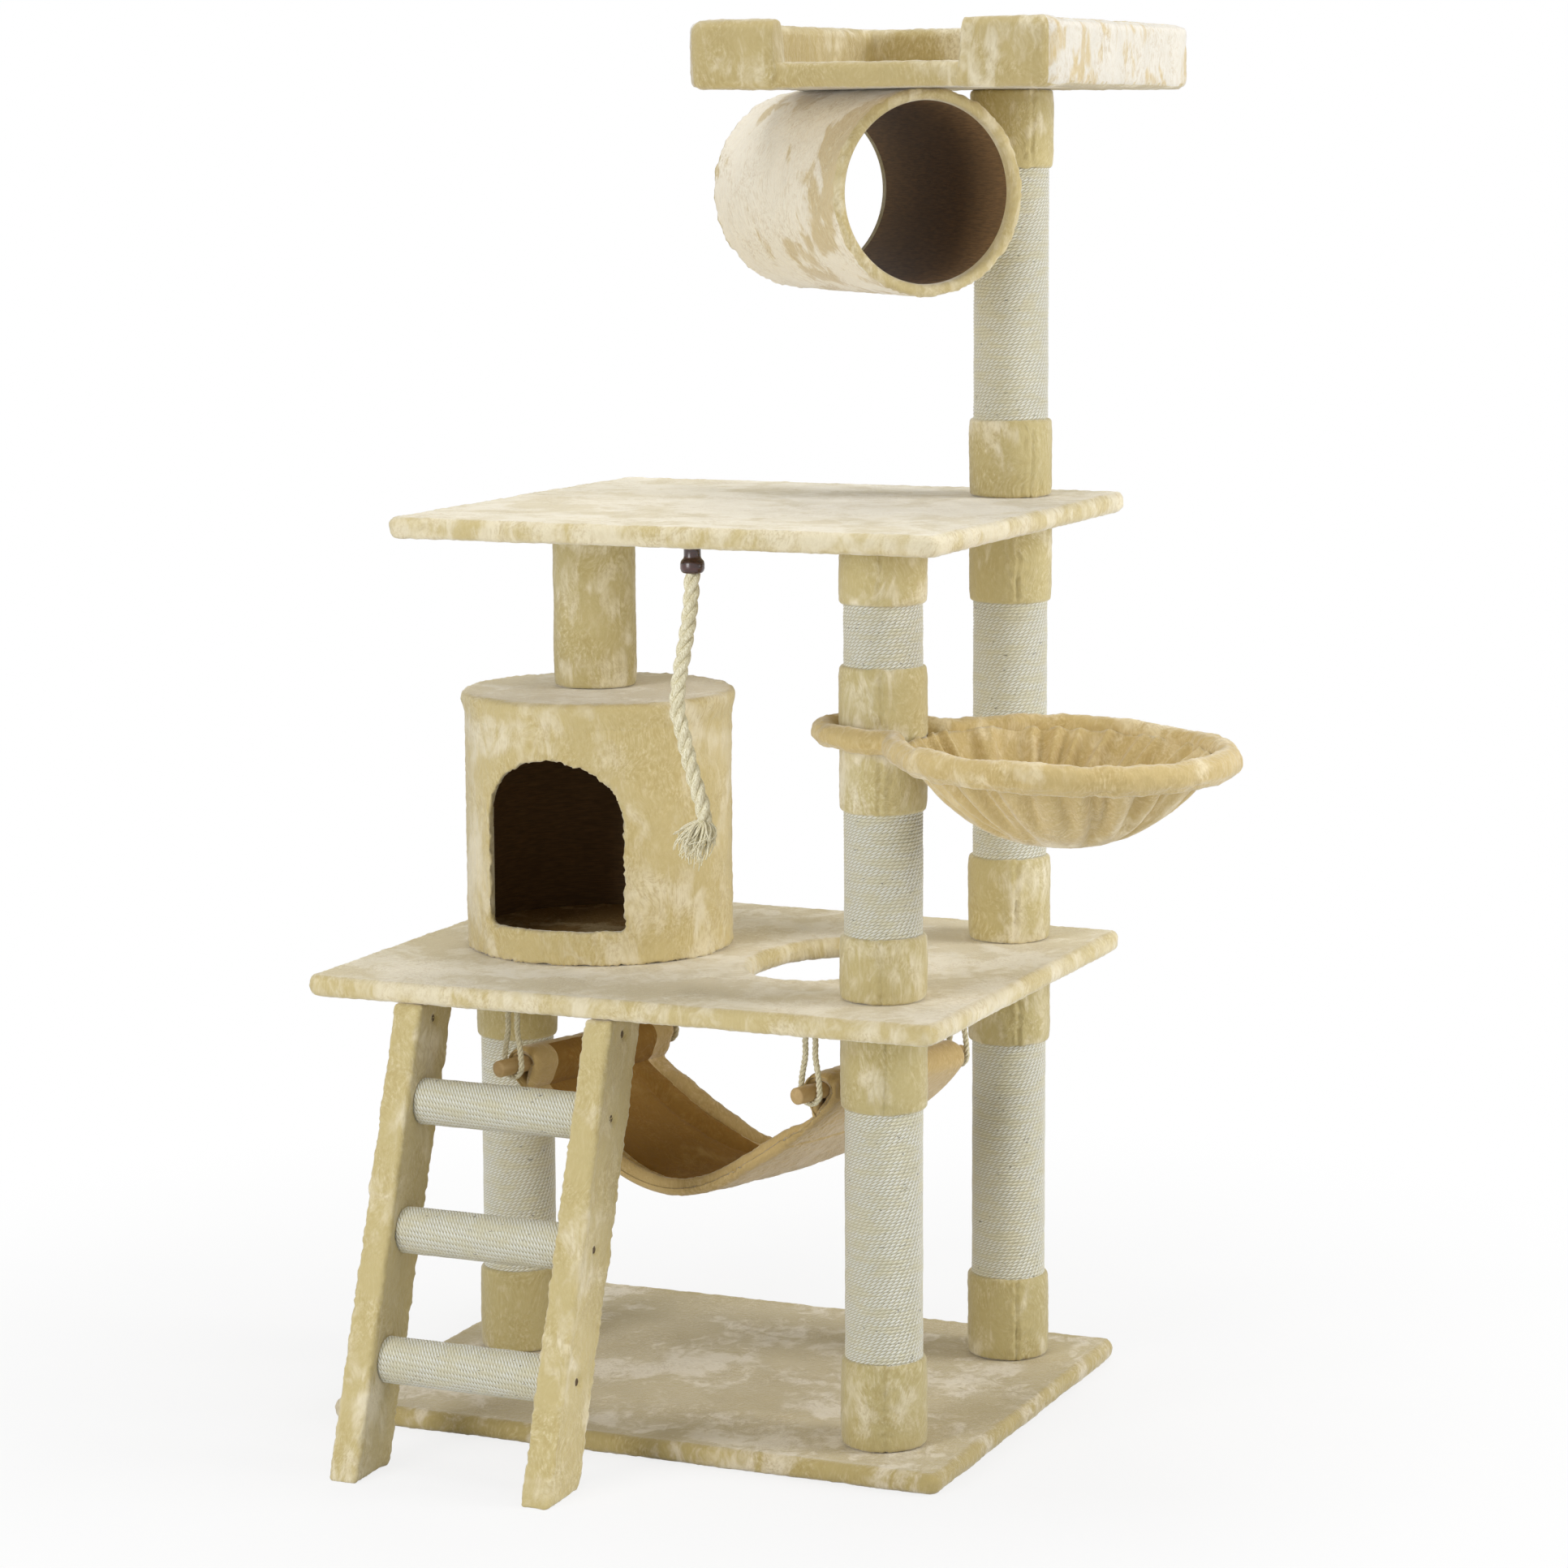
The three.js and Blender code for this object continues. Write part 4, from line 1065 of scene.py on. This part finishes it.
# ---------------------------------------------------------------- tunnel
TUNNEL_WALL = 13 * MM


def tunnel_axis():
    """The tunnel's centre, level axis, half length and radius, from its box and its own points."""
    low, high = box("tunnel")
    centre = (low + high) / 2
    flat = coordinates(frame["nodes"]["tunnel"])[:, :2] - centre[:2]
    axis = np.linalg.eigh(flat.T @ flat)[1][:, 1]
    if axis[1] > 0:
        axis = -axis
    return centre, np.array([*axis, 0]), (flat @ axis).max(), (high - low)[2] / 2


def make_tunnel():
    centre, axis, half, outer = tunnel_axis()
    inner, rim = outer - TUNNEL_WALL, TUNNEL_WALL / 2
    end = half - rim
    near = [(inner + rim + rim * math.cos(a), end + rim * math.sin(a)) for a in np.linspace(0, math.pi, 9)]
    profile = [(outer, s) for s in np.linspace(-end, end, 74)[1:-1]] + near
    profile += [(inner, s) for s in np.linspace(end, -end, 40)[1:-1]]
    profile += [(r, -s) for r, s in near[::-1]]
    side = np.cross(axis, UP)
    tunnel = grid_piece("plush_tunnel", lathe(profile, centre, axis, side, UP, 168), wrap_rows=True)

    def measure(points):
        """How far along the tunnel and how far from its axis each point is."""
        flat = points - centre
        return np.abs(flat @ axis), np.hypot(flat @ side, flat[:, 2])

    local = coordinates(tunnel)
    along, away = measure(local)
    pile = tufts(local, 95)
    cloth = 0.5 * pile + 0.7 * noise(local, 50 * MM, 97) + smooth(along, half - 16 * MM, half - 4 * MM) * pile
    push_out(tunnel, smooth(away, inner + 1 * MM, inner + 4 * MM) * cloth * MM)
    finish_piece(tunnel, "tunnel card rim", "tower", ["tunnel"])

    def cover(spot, out):
        """Bare card inside, and a lapped rim round both mouths."""
        reach, away = measure(spot)
        bare = (away < inner + 1.2 * MM) & (reach < half - 14 * MM)
        lapped = (away < outer - 5 * MM) | (reach > half - 8 * MM)
        return np.where(bare, 1, np.where(lapped, 2, 0))

    mark_faces(tunnel, cover)


make_tunnel()

# ---------------------------------------------------------------- ladder
RAIL_DEPTH, RAIL_RIM = 80 * MM, 4 * MM
RUNG_RADIUS, RUNG_GAP = 26 * MM, 0.4 * MM
SCREW_DROP, SCREW_RADIUS = 20 * MM, 4.4 * MM
RUNGS = ("bottom", "middle", "top")


def rail_centre(node, z):
    """The (x, y) of a rail's sloping centre line at a height."""
    low, high, middle, half = plan(node)
    slope = (2 * half[1] - RAIL_DEPTH) / (high - low)[2]
    y = low[1] + RAIL_DEPTH / 2 + slope * (z - low[2])
    return np.stack([middle[0] + 0 * y, y], -1)


def make_rail(node):
    low, high, middle, half = plan(node)
    half = np.array([half[0], RAIL_DEPTH / 2])
    stops = [even_stops(half[0] - 9 * MM, 3 * MM), even_stops(half[1] - 9 * MM, 3.2 * MM)]

    def ring(inset, z):
        flat = rounded_ring(half - inset, max(6.5 * MM - inset, 2.5 * MM), stops, 8)
        return at_height(flat + rail_centre(node, z), z)

    rim = quarter_round(RAIL_RIM, 4)
    rows = [ring(inset, low[2] + rise) for inset, rise in rim]
    rows += [ring(0, z) for z in np.arange(low[2] + RAIL_RIM + 3 * MM, high[2] - RAIL_RIM - 1 * MM, 3.4 * MM)]
    rows += [ring(inset, high[2] - rise) for inset, rise in rim[::-1]]
    piece = grid_piece("plush_" + node, np.stack(rows))
    local = coordinates(piece)
    x, y = np.abs(local[:, :2] - rail_centre(node, local[:, 2])).T
    corner = np.exp(-((half[0] - x) ** 2 + (half[1] - y) ** 2) / (7 * MM) ** 2)
    seed = 130 if middle[0] < middle_of("ladder_rung_bottom")[0] else 140
    pile = tufts(local, seed, coarse=9 * MM)
    amount = 0.6 * MM * pile + 0.7 * MM * noise(local, 26 * MM, seed + 2) + corner * (1.3 + 0.9 * pile) * MM
    for i, z in enumerate(screw_heights()):
        y = rail_centre(node, z)[1]
        dimple = bell(np.hypot(local[:, 1] - y, local[:, 2] - z), 6.5 * MM, 4)
        amount = amount - 4.0 * MM * dimple * (x > half[0] - 5 * MM)
        for side, word in ((-1, "in"), (1, "out")):
            place = np.array([middle[0] + side * (half[0] - 4.2 * MM), y, z])
            make_screw(f"screw_{node}_{i}_{word}", place, side)
    push_out(piece, amount)
    finish_piece(piece, "rail", "tower", [node])


def screw_heights():
    """One at each rung and one near the top of the rails."""
    top = box("ladder_left_rail")[1][2]
    return [*(middle_of(f"ladder_rung_{name}")[2] for name in RUNGS), top - SCREW_DROP]


def make_screw(name, place, side):
    """A countersunk head with a cross slot, at the bottom of its dimple."""
    shares = [(0.4, 0.0), (1.0, 0.0), (1.0, 0.9), (0.88, 1.3), (0.45, 1.45), (0.1, 1.5)]
    profile = [(share * SCREW_RADIUS, lift * MM) for share, lift in shares]
    piece = grid_piece(name, lathe(profile, place, side * EAST, NORTH, UP, 24))
    local = coordinates(piece)
    x, y, z = (local - place).T
    slot = (np.minimum(np.abs(y), np.abs(z)) < 0.6 * MM) & (np.hypot(y, z) < 2.6 * MM) & (side * x > 1.0 * MM)
    local[:, 0] -= side * slot * 0.9 * MM
    set_coordinates(piece, local)
    finish_piece(piece, "screw", "tower")


def make_ladder():
    for node in ("ladder_left_rail", "ladder_right_rail"):
        make_rail(node)
    left = box("ladder_left_rail")[1][0] + RUNG_GAP
    right = box("ladder_right_rail")[0][0] - RUNG_GAP
    for i, name in enumerate(RUNGS):
        node = f"ladder_rung_{name}"
        start = (left, *middle_of(node)[1:])
        wound_twine(
            f"twine_rung_{name}", start, EAST, right - left, RUNG_RADIUS, [node], 300 + i
        )


make_ladder()

# ---------------------------------------------------------------- basket
BASKET_REACH, BASKET_RADIUS, BASKET_DEPTH = 209 * MM, 175 * MM, 90 * MM
BASKET_HEADING, BASKET_DROOP = math.radians(-4.3), math.radians(2.5)
LOOP_RADIUS, NECK_FILLET, POST_CLEARANCE = 63.8 * MM, 20 * MM, 48.6 * MM
HOOP_STEP, BOWL_CLOTH = 2.6 * MM, 6 * MM
PLEATS, PLEAT_DEPTH, PLEAT_LIFT = 31, 11 * MM, 3 * MM


def basket_place(points):
    """From the hoop's own frame, with its post at the origin, to the tree's."""
    c, s = math.cos(BASKET_DROOP), math.sin(BASKET_DROOP)
    droop = np.array([(c, 0, s), (0, 1, 0), (-s, 0, c)])
    c, s = math.cos(BASKET_HEADING), math.sin(BASKET_HEADING)
    heading = np.array([(c, -s, 0), (s, c, 0), (0, 0, 1)])
    return points @ (heading @ droop).T + pivot_of("basket_swivel")


def arc(centre, radius, start, stop, step=2 * MM):
    count = max(4, round(abs(stop - start) * radius / step))
    return at_height(round_points(centre, radius, np.linspace(start, stop, count)), 0)


def hoop_line():
    """The hoop's flat outline: round the post, a reverse bend, round the bowl, and a reverse bend."""
    to_post, to_bowl = LOOP_RADIUS + NECK_FILLET, BASKET_RADIUS + NECK_FILLET
    reach = BASKET_REACH
    at_post = math.acos((reach**2 + to_post**2 - to_bowl**2) / (2 * reach * to_post))
    at_bowl = math.acos((reach**2 + to_bowl**2 - to_post**2) / (2 * reach * to_bowl))
    neck = (to_post * math.cos(at_post), to_post * math.sin(at_post))
    line = np.vstack([
        arc((0, 0), LOOP_RADIUS, at_post, TURN - at_post)[:-1],
        arc((neck[0], -neck[1]), NECK_FILLET, math.pi - at_post, at_bowl)[:-1],
        arc((reach, 0), BASKET_RADIUS, at_bowl - math.pi, math.pi - at_bowl)[:-1],
        arc(neck, NECK_FILLET, -at_bowl, at_post - math.pi),
    ])
    return resample(line, HOOP_STEP)[:-1]


def make_basket_hem():
    """The rolled hem: an uneven plush tube round the whole hoop, fuller round the bowl."""
    line = hoop_line()
    tangent = unit(np.roll(line, -1, 0) - np.roll(line, 1, 0))
    out = np.stack([tangent[:, 1], -tangent[:, 0], 0 * tangent[:, 0]], -1)
    along = (np.arange(len(line)) * HOOP_STEP)[:, None]
    angle = angles(48)[None]
    round_bowl = smooth(line[:, :1], 60 * MM, 130 * MM)
    swell = 1 + 0.06 * wobble(along, 45 * MM, 5) + 0.03 * wobble(along, 16 * MM, 6)
    swell = swell * (1 - 0.10 * bell(np.sin(angle) + 0.75, 0.25))
    across = 1.5 * wobble(along, 70 * MM, 9) + (12.5 + 1.5 * round_bowl) * swell * np.cos(angle)
    up = 1.8 * wobble(along, 62 * MM, 12) * round_bowl + (13.5 + 3.0 * round_bowl) * swell * np.sin(angle) - 1
    points = line[:, None] + out[:, None] * across[..., None] * MM + UP * up[..., None] * MM
    hem = grid_piece("plush_basket_hem", basket_place(points), wrap_rows=True)
    local = coordinates(hem)
    push_out(hem, 0.8 * MM * tufts(local, 401) + 2.0 * MM * noise(local, 20 * MM, 403))
    return finish_piece(hem, "basket", "basket")


def pleat_depth(turn, share, radius):
    """How far the gathered cloth folds in at each place: creases that run down from the hem."""
    rng = np.random.default_rng(23)
    depth = 0.0
    for i in range(PLEATS):
        start = TURN * (i + rng.uniform(-0.32, 0.32)) / PLEATS
        lean = rng.normal(0.34, 0.10)
        reach = rng.uniform(0.20, 0.55)
        width = rng.uniform(6.0, 9.5) * MM
        deep = rng.uniform(0.6, 1.2)
        off = wrapped(turn - start - lean * (1 - share))
        depth = depth + deep * smooth(share, reach, reach + 0.3) * bell(off * radius, width)
    return depth


def make_basket_bowl():
    """A deep round cloth gathered into pleats under the hem, kept clear of the post."""
    share, turn = np.linspace(0.03, 1, 62)[:, None], angles(440)[None]
    radius = (BASKET_RADIUS - 12 * MM) * share + 0 * turn
    deep = -BASKET_DEPTH * (1 - share**2.4) - 3 * MM * np.sin(math.pi * share)
    spot = at_height(round_points((BASKET_REACH, 0), radius, turn), deep + 0 * turn)
    normal = unit(np.cross(np.roll(spot, -1, 1) - np.roll(spot, 1, 1), np.gradient(spot, axis=0)))
    normal *= np.where(normal[..., 2:] > 0, -1, 1)
    fold = pleat_depth(turn, share, radius) * (1 - 0.35 * smooth(share, 0.9, 1))
    spot = spot - normal * (PLEAT_DEPTH * fold - PLEAT_LIFT)[..., None]
    layers = []
    for side in (1, -1):
        layer = spot + normal * side * BOWL_CLOTH / 2
        away = np.linalg.norm(layer[..., :2], axis=-1)
        wanted = np.maximum(away, POST_CLEARANCE + (0 if side < 0 else BOWL_CLOTH / 2))
        layer[..., :2] *= (wanted / away)[..., None]
        layers.append(layer)
    bowl = grid_piece("plush_basket_bowl", basket_place(np.concatenate([layers[0], layers[1][::-1]])))
    local = coordinates(bowl)
    push_out(bowl, 0.35 * MM * tufts(local, 411, share=0.7) + 0.5 * MM * noise(local, 24 * MM, 413))
    return finish_piece(bowl, "basket", "basket", ["basket_sling"])


bowl = make_basket_bowl()
hem = make_basket_hem()

# ---------------------------------------------------------------- hammock
HAMMOCK_LEAN = math.radians(17)
HAMMOCK_SAG, HAMMOCK_CLOTH, HAMMOCK_THIN, HAMMOCK_ROLL = 132 * MM, 9 * MM, 1.2 * MM, 9.5 * MM
DOWEL_LENGTH, DOWEL_RADIUS, DOWEL_OVERHANG, DOWEL_SHORT = 310 * MM, 9.5 * MM, 38 * MM, 16 * MM
LOOP_ROPE, HOOK_RADIUS, LOOP_SLACK = 3.4 * MM, 2.5 * MM, 0.4 * MM
HAMMOCK_AXIS = np.array([math.sin(HAMMOCK_LEAN), math.cos(HAMMOCK_LEAN), 0.0])
HAMMOCK_ACROSS = np.array([math.cos(HAMMOCK_LEAN), -math.sin(HAMMOCK_LEAN), 0.0])


def hammock_half_profile(ring, sag, half):
    """One side's lower face line, from the trough up, over its dowel and down to the sleeve's seam."""
    share = np.linspace(0, 1, 60)
    climb = math.atan(2 * sag / half)
    normal = np.array([math.sin(climb), -math.cos(climb)])
    main = np.stack([share * half, -sag * (1 - share**2)], -1)
    main = main + smooth(share, 0.45, 1.0)[:, None] * ring * normal
    start = climb - QUARTER
    stop = start + math.radians(233)
    loop = round_points((half, 0), ring, np.linspace(start, stop, 40))
    heading = np.array([-math.sin(stop), math.cos(stop)])
    gap = ring * (1 + math.cos(math.radians(53)))
    tail = loop[-1] + heading * np.linspace(0.1, 1, 8)[:, None] * (gap - 1.1 * HAMMOCK_CLOTH) / 0.8
    return np.vstack([main, loop[1:], tail])


def hammock_line(share, ring, half, count):
    """The cloth's lower face at one place along its dowels, from one seam to the other."""
    sag = HAMMOCK_SAG + 5 * MM + 3 * MM * math.sin(math.pi * share)
    side = hammock_half_profile(ring, sag, half)
    line = resample(np.vstack([side[::-1] * [-1, 1], side[1:]]), 1 * MM)
    return resample(line, lengths(line)[-1] / count)


def roll(d, middle, half_width):
    """A half-round swell from 0 to 1 about a middle."""
    return np.sqrt(np.clip(1 - ((d - middle) / half_width) ** 2, 0, 1))


def hammock_thickness(d, hemmed):
    """Plain cloth with a rounded edge, and where hemmed a double roll; d is the way in from the edge."""
    plain = HAMMOCK_CLOTH * roll(np.minimum(d, 4.5 * MM), 4.5 * MM, 4.6 * MM)
    plain = plain * (1 - 0.45 * hemmed * bell(d - 34 * MM, 4 * MM))
    rolls = np.maximum(20 * MM * roll(d, HAMMOCK_ROLL, 9.6 * MM), 16 * MM * roll(d, 24 * MM, 8.5 * MM))
    return np.maximum(plain + (np.maximum(rolls, plain) - plain) * hemmed, HAMMOCK_THIN)


def lift_of(near):
    """How far the rolled edge curls up from below."""
    return 9 * MM * (1 - roll(np.minimum(near, HAMMOCK_ROLL), HAMMOCK_ROLL, HAMMOCK_ROLL))


def hammock_section(line, half, share, near):
    """Both faces of the cloth at one place, as (across, up) pairs: over the upper face and back."""
    tangent = unit(np.gradient(line, axis=0))
    across = np.stack([-tangent[:, 1], tangent[:, 0]], -1)
    spread = line[:, 0] / half
    near = near / (1 + (share > 0.5) * 0.8 * smooth(-spread, 0.0, 0.6))
    hemmed = (1 - smooth(np.abs(spread), 0.78, 1.0)) * (line[:, 1] < 0)
    lift = lift_of(near) * (0.45 + 0.55 * hemmed)
    thick = np.maximum(hammock_thickness(near, hemmed), lift + HAMMOCK_THIN)
    taper = np.ones(len(line))
    taper[:6] = np.sqrt(np.linspace(0.05, 1, 6))
    taper[-6:] = taper[:6][::-1]
    upper = line + across * (thick * (0.5 + 0.5 * taper))[:, None]
    lower = line + across * (HAMMOCK_CLOTH * 0.5 * (1 - taper) + lift)[:, None]
    flat = np.vstack([upper, lower[::-1]])
    over = np.clip(np.abs(flat[:, 0]) - half, -60 * MM, 60 * MM)
    flat[:, 0] += np.sign(flat[:, 0]) * over * (1 / math.cos(HAMMOCK_LEAN) - 1) * (np.abs(over) < 40 * MM)
    return flat


def lined(line, half, ring):
    """Which faces of a section take the darker inner colour, partly the cloth's own and partly painted shade: the
    upper face and the sleeves' turned-in ends.
    """
    order, middle = np.arange(len(line)), len(line) // 2
    top_left, top_right = line[:middle, 1].argmax(), middle + line[middle:, 1].argmax()
    turned_in = ((order < top_left) | (order > top_right)) & (np.abs(line[:, 0]) < half - 0.3 * ring)
    return np.concatenate([order >= 0, turned_in[::-1]])


def keep_off_post(cloth):
    """Presses the cloth in where it would meet the front post at the end of its swing."""
    arm = pivot_of("hammock_swing")[2] - pivot_of("hammock_level")[2]
    travel = -arm * math.sin(math.radians(joints["hammock_swing"]["range_deg"][0]))
    centre, half = plan("front_lower_sleeve_top")[2:]
    points = coordinates(cloth)
    away = (points + HAMMOCK_ACROSS * travel)[:, :2] - centre
    short = np.clip(half[0] + 3 * MM - np.linalg.norm(away, axis=1), 0, 8 * MM)
    points[:, :2] += unit(away) * short[:, None]
    set_coordinates(cloth, points)


def make_hammock_cloth():
    left, right = pivot_of("hammock_level"), pivot_of("hammock_swing_right")
    half = (right[0] - left[0]) / 2
    centre = np.array([(left[0] + right[0]) / 2, left[1], left[2]])
    length = DOWEL_LENGTH - 2 * DOWEL_OVERHANG
    edge = HAMMOCK_ROLL * (1 - np.cos(np.linspace(0.05, QUARTER, 8)))
    edge = np.concatenate([edge, np.arange(11.5, 46, 1.5) * MM])
    middle = np.arange(edge[-1] + 3 * MM, length - edge[-1], 3 * MM)
    ring = DOWEL_RADIUS + 1.2 * MM + HAMMOCK_CLOTH
    rows, inner_side = [], []
    for v in np.concatenate([edge, middle, length - edge[::-1]]):
        line = hammock_line(v / length, ring, half, 330)
        near = min(v, length - v)
        flat = hammock_section(line, half, v / length, near)
        rows.append(centre + HAMMOCK_AXIS * (DOWEL_OVERHANG + v) + flat[:, :1] * EAST + flat[:, 1:] * UP)
        inner_side.append(lined(line, half, ring) & (near > 33 * MM))
    columns = len(rows[0])
    i = np.arange(columns // 2 - 1)
    strip = np.stack([i, i + 1, columns - 2 - i, columns - 1 - i], -1)
    quads = np.vstack([grid_faces(len(rows), columns, False), strip, strip + (len(rows) - 1) * columns])
    cloth = mesh_piece("plush_hammock", np.stack(rows), quads)
    local = coordinates(cloth)
    from_edge = length / 2 - np.abs((local - centre) @ HAMMOCK_AXIS - DOWEL_LENGTH / 2)
    pile = 0.6 * MM * tufts(local, 421) + 1.2 * MM * noise(local, 34 * MM, 423)
    push_out(cloth, smooth(from_edge, 0.5 * MM, 7 * MM) * pile)
    keep_off_post(cloth)
    # The faces that take the darker inner colour, which is partly painted shade.
    shaded = np.concatenate([np.stack(inner_side)[:-1].ravel(), np.zeros(2 * len(strip), bool)])
    mark_faces(cloth, lambda spot, out: shaded)
    return finish_piece(cloth, "hammock lining", "hammock_sling", ["hammock_cloth"])


def make_dowel(side):
    pivot = pivot_of("hammock_level" if side == "left" else "hammock_swing_right")
    pivot[2] = middle_of(f"hammock_dowel_{side}")[2]
    bevel, length = 1.3 * MM, DOWEL_LENGTH - DOWEL_SHORT
    end = [(DOWEL_RADIUS * 0.3, 0.0), (DOWEL_RADIUS - bevel, 0.0), (DOWEL_RADIUS, bevel)]
    profile = end + [(DOWEL_RADIUS, s) for s in np.linspace(20 * MM, length - 20 * MM, 60)]
    profile += [(r, length - s) for r, s in end[::-1]]
    rings = lathe(profile, pivot, HAMMOCK_AXIS, HAMMOCK_ACROSS, UP, 40)
    dowel = grid_piece(f"wood_dowel_{side}", rings)
    push_out(dowel, 0.12 * MM * noise(coordinates(dowel), 12 * MM, 5))
    finish_piece(dowel, "dowel", f"hammock_{side}_trapeze", [f"hammock_dowel_{side}"])


def make_hammock_loop(end, side):
    """A closed loop of laid rope round its hook and its dowel."""
    node = f"hammock_loop_{end}_{side}"
    low, high = box(node)
    below, above = (radius + LOOP_SLACK + LOOP_ROPE for radius in (DOWEL_RADIUS, HOOK_RADIUS))
    bottom, top = low[2] + below + LOOP_ROPE, high[2] - above - LOOP_ROPE
    tall = top - bottom
    tilt = math.asin((below - above) / tall)
    lower = arc((0, 0), below, math.pi - tilt, TURN + tilt, 1 * MM)
    upper = arc((0, tall), above, tilt, math.pi - tilt, 1 * MM)
    x, y = resample(np.vstack([lower, upper, lower[:1]]), 1.1 * MM)[:-1, :2].T
    pinch = 1 - 0.25 * bell(y - 0.55 * tall, 16 * MM)
    sway = 0.8 * MM * wobble(y + x, 20 * MM, 3)
    path = np.array([*middle_of(node)[:2], bottom]) + HAMMOCK_ACROSS * (x * pinch)[:, None]
    path = path + UP * y[:, None] + HAMMOCK_AXIS * sway[:, None]
    rope = laid_rope(path, LOOP_ROPE, 17 * MM, 8, closed=True, fuzz=0.06)
    piece = mesh_piece(f"rope_{end}_{side}", *rope)
    finish_piece(piece, "cotton", f"hammock_{side}_trapeze", [node])


cloth = make_hammock_cloth()
for side in ("left", "right"):
    make_dowel(side)
    for end in ("front", "back"):
        make_hammock_loop(end, side)


# ---------------------------------------------------------------- toy cap
def make_toy_cap():
    low, high, centre, half = plan("toy_cap")
    shares = [
        (0.60, 0.03), (0.66, 0.0), (0.80, 0.02), (0.93, 0.08), (1.0, 0.18), (1.0, 0.36), (0.94, 0.45),
        (0.84, 0.51), (0.73, 0.56), (0.70, 0.64), (0.70, 0.90), (0.76, 0.96), (0.78, 1.0), (0.2, 1.0),
    ]
    profile = [(half[0] * r, low[2] + (high - low)[2] * z) for r, z in shares]
    cap = grid_piece("wood_toy_cap", upright(profile, centre, 56))
    finish_piece(cap, "cap", "tower", ["toy_cap"])


make_toy_cap()

# ---------------------------------------------------------------- CAD parts that stay
SHOWN_FINISH = {"core": "card", "bolt": "steel", "hook": "steel", "basket_frame": "steel"}


def finish_cad_parts():
    for name, node in frame["nodes"].items():
        for word, material in SHOWN_FINISH.items():
            if word in name:
                for holder in node.material_slots:
                    holder.material = MATERIAL[material]


finish_cad_parts()
bpy.context.scene.view_settings.view_transform = "Standard"
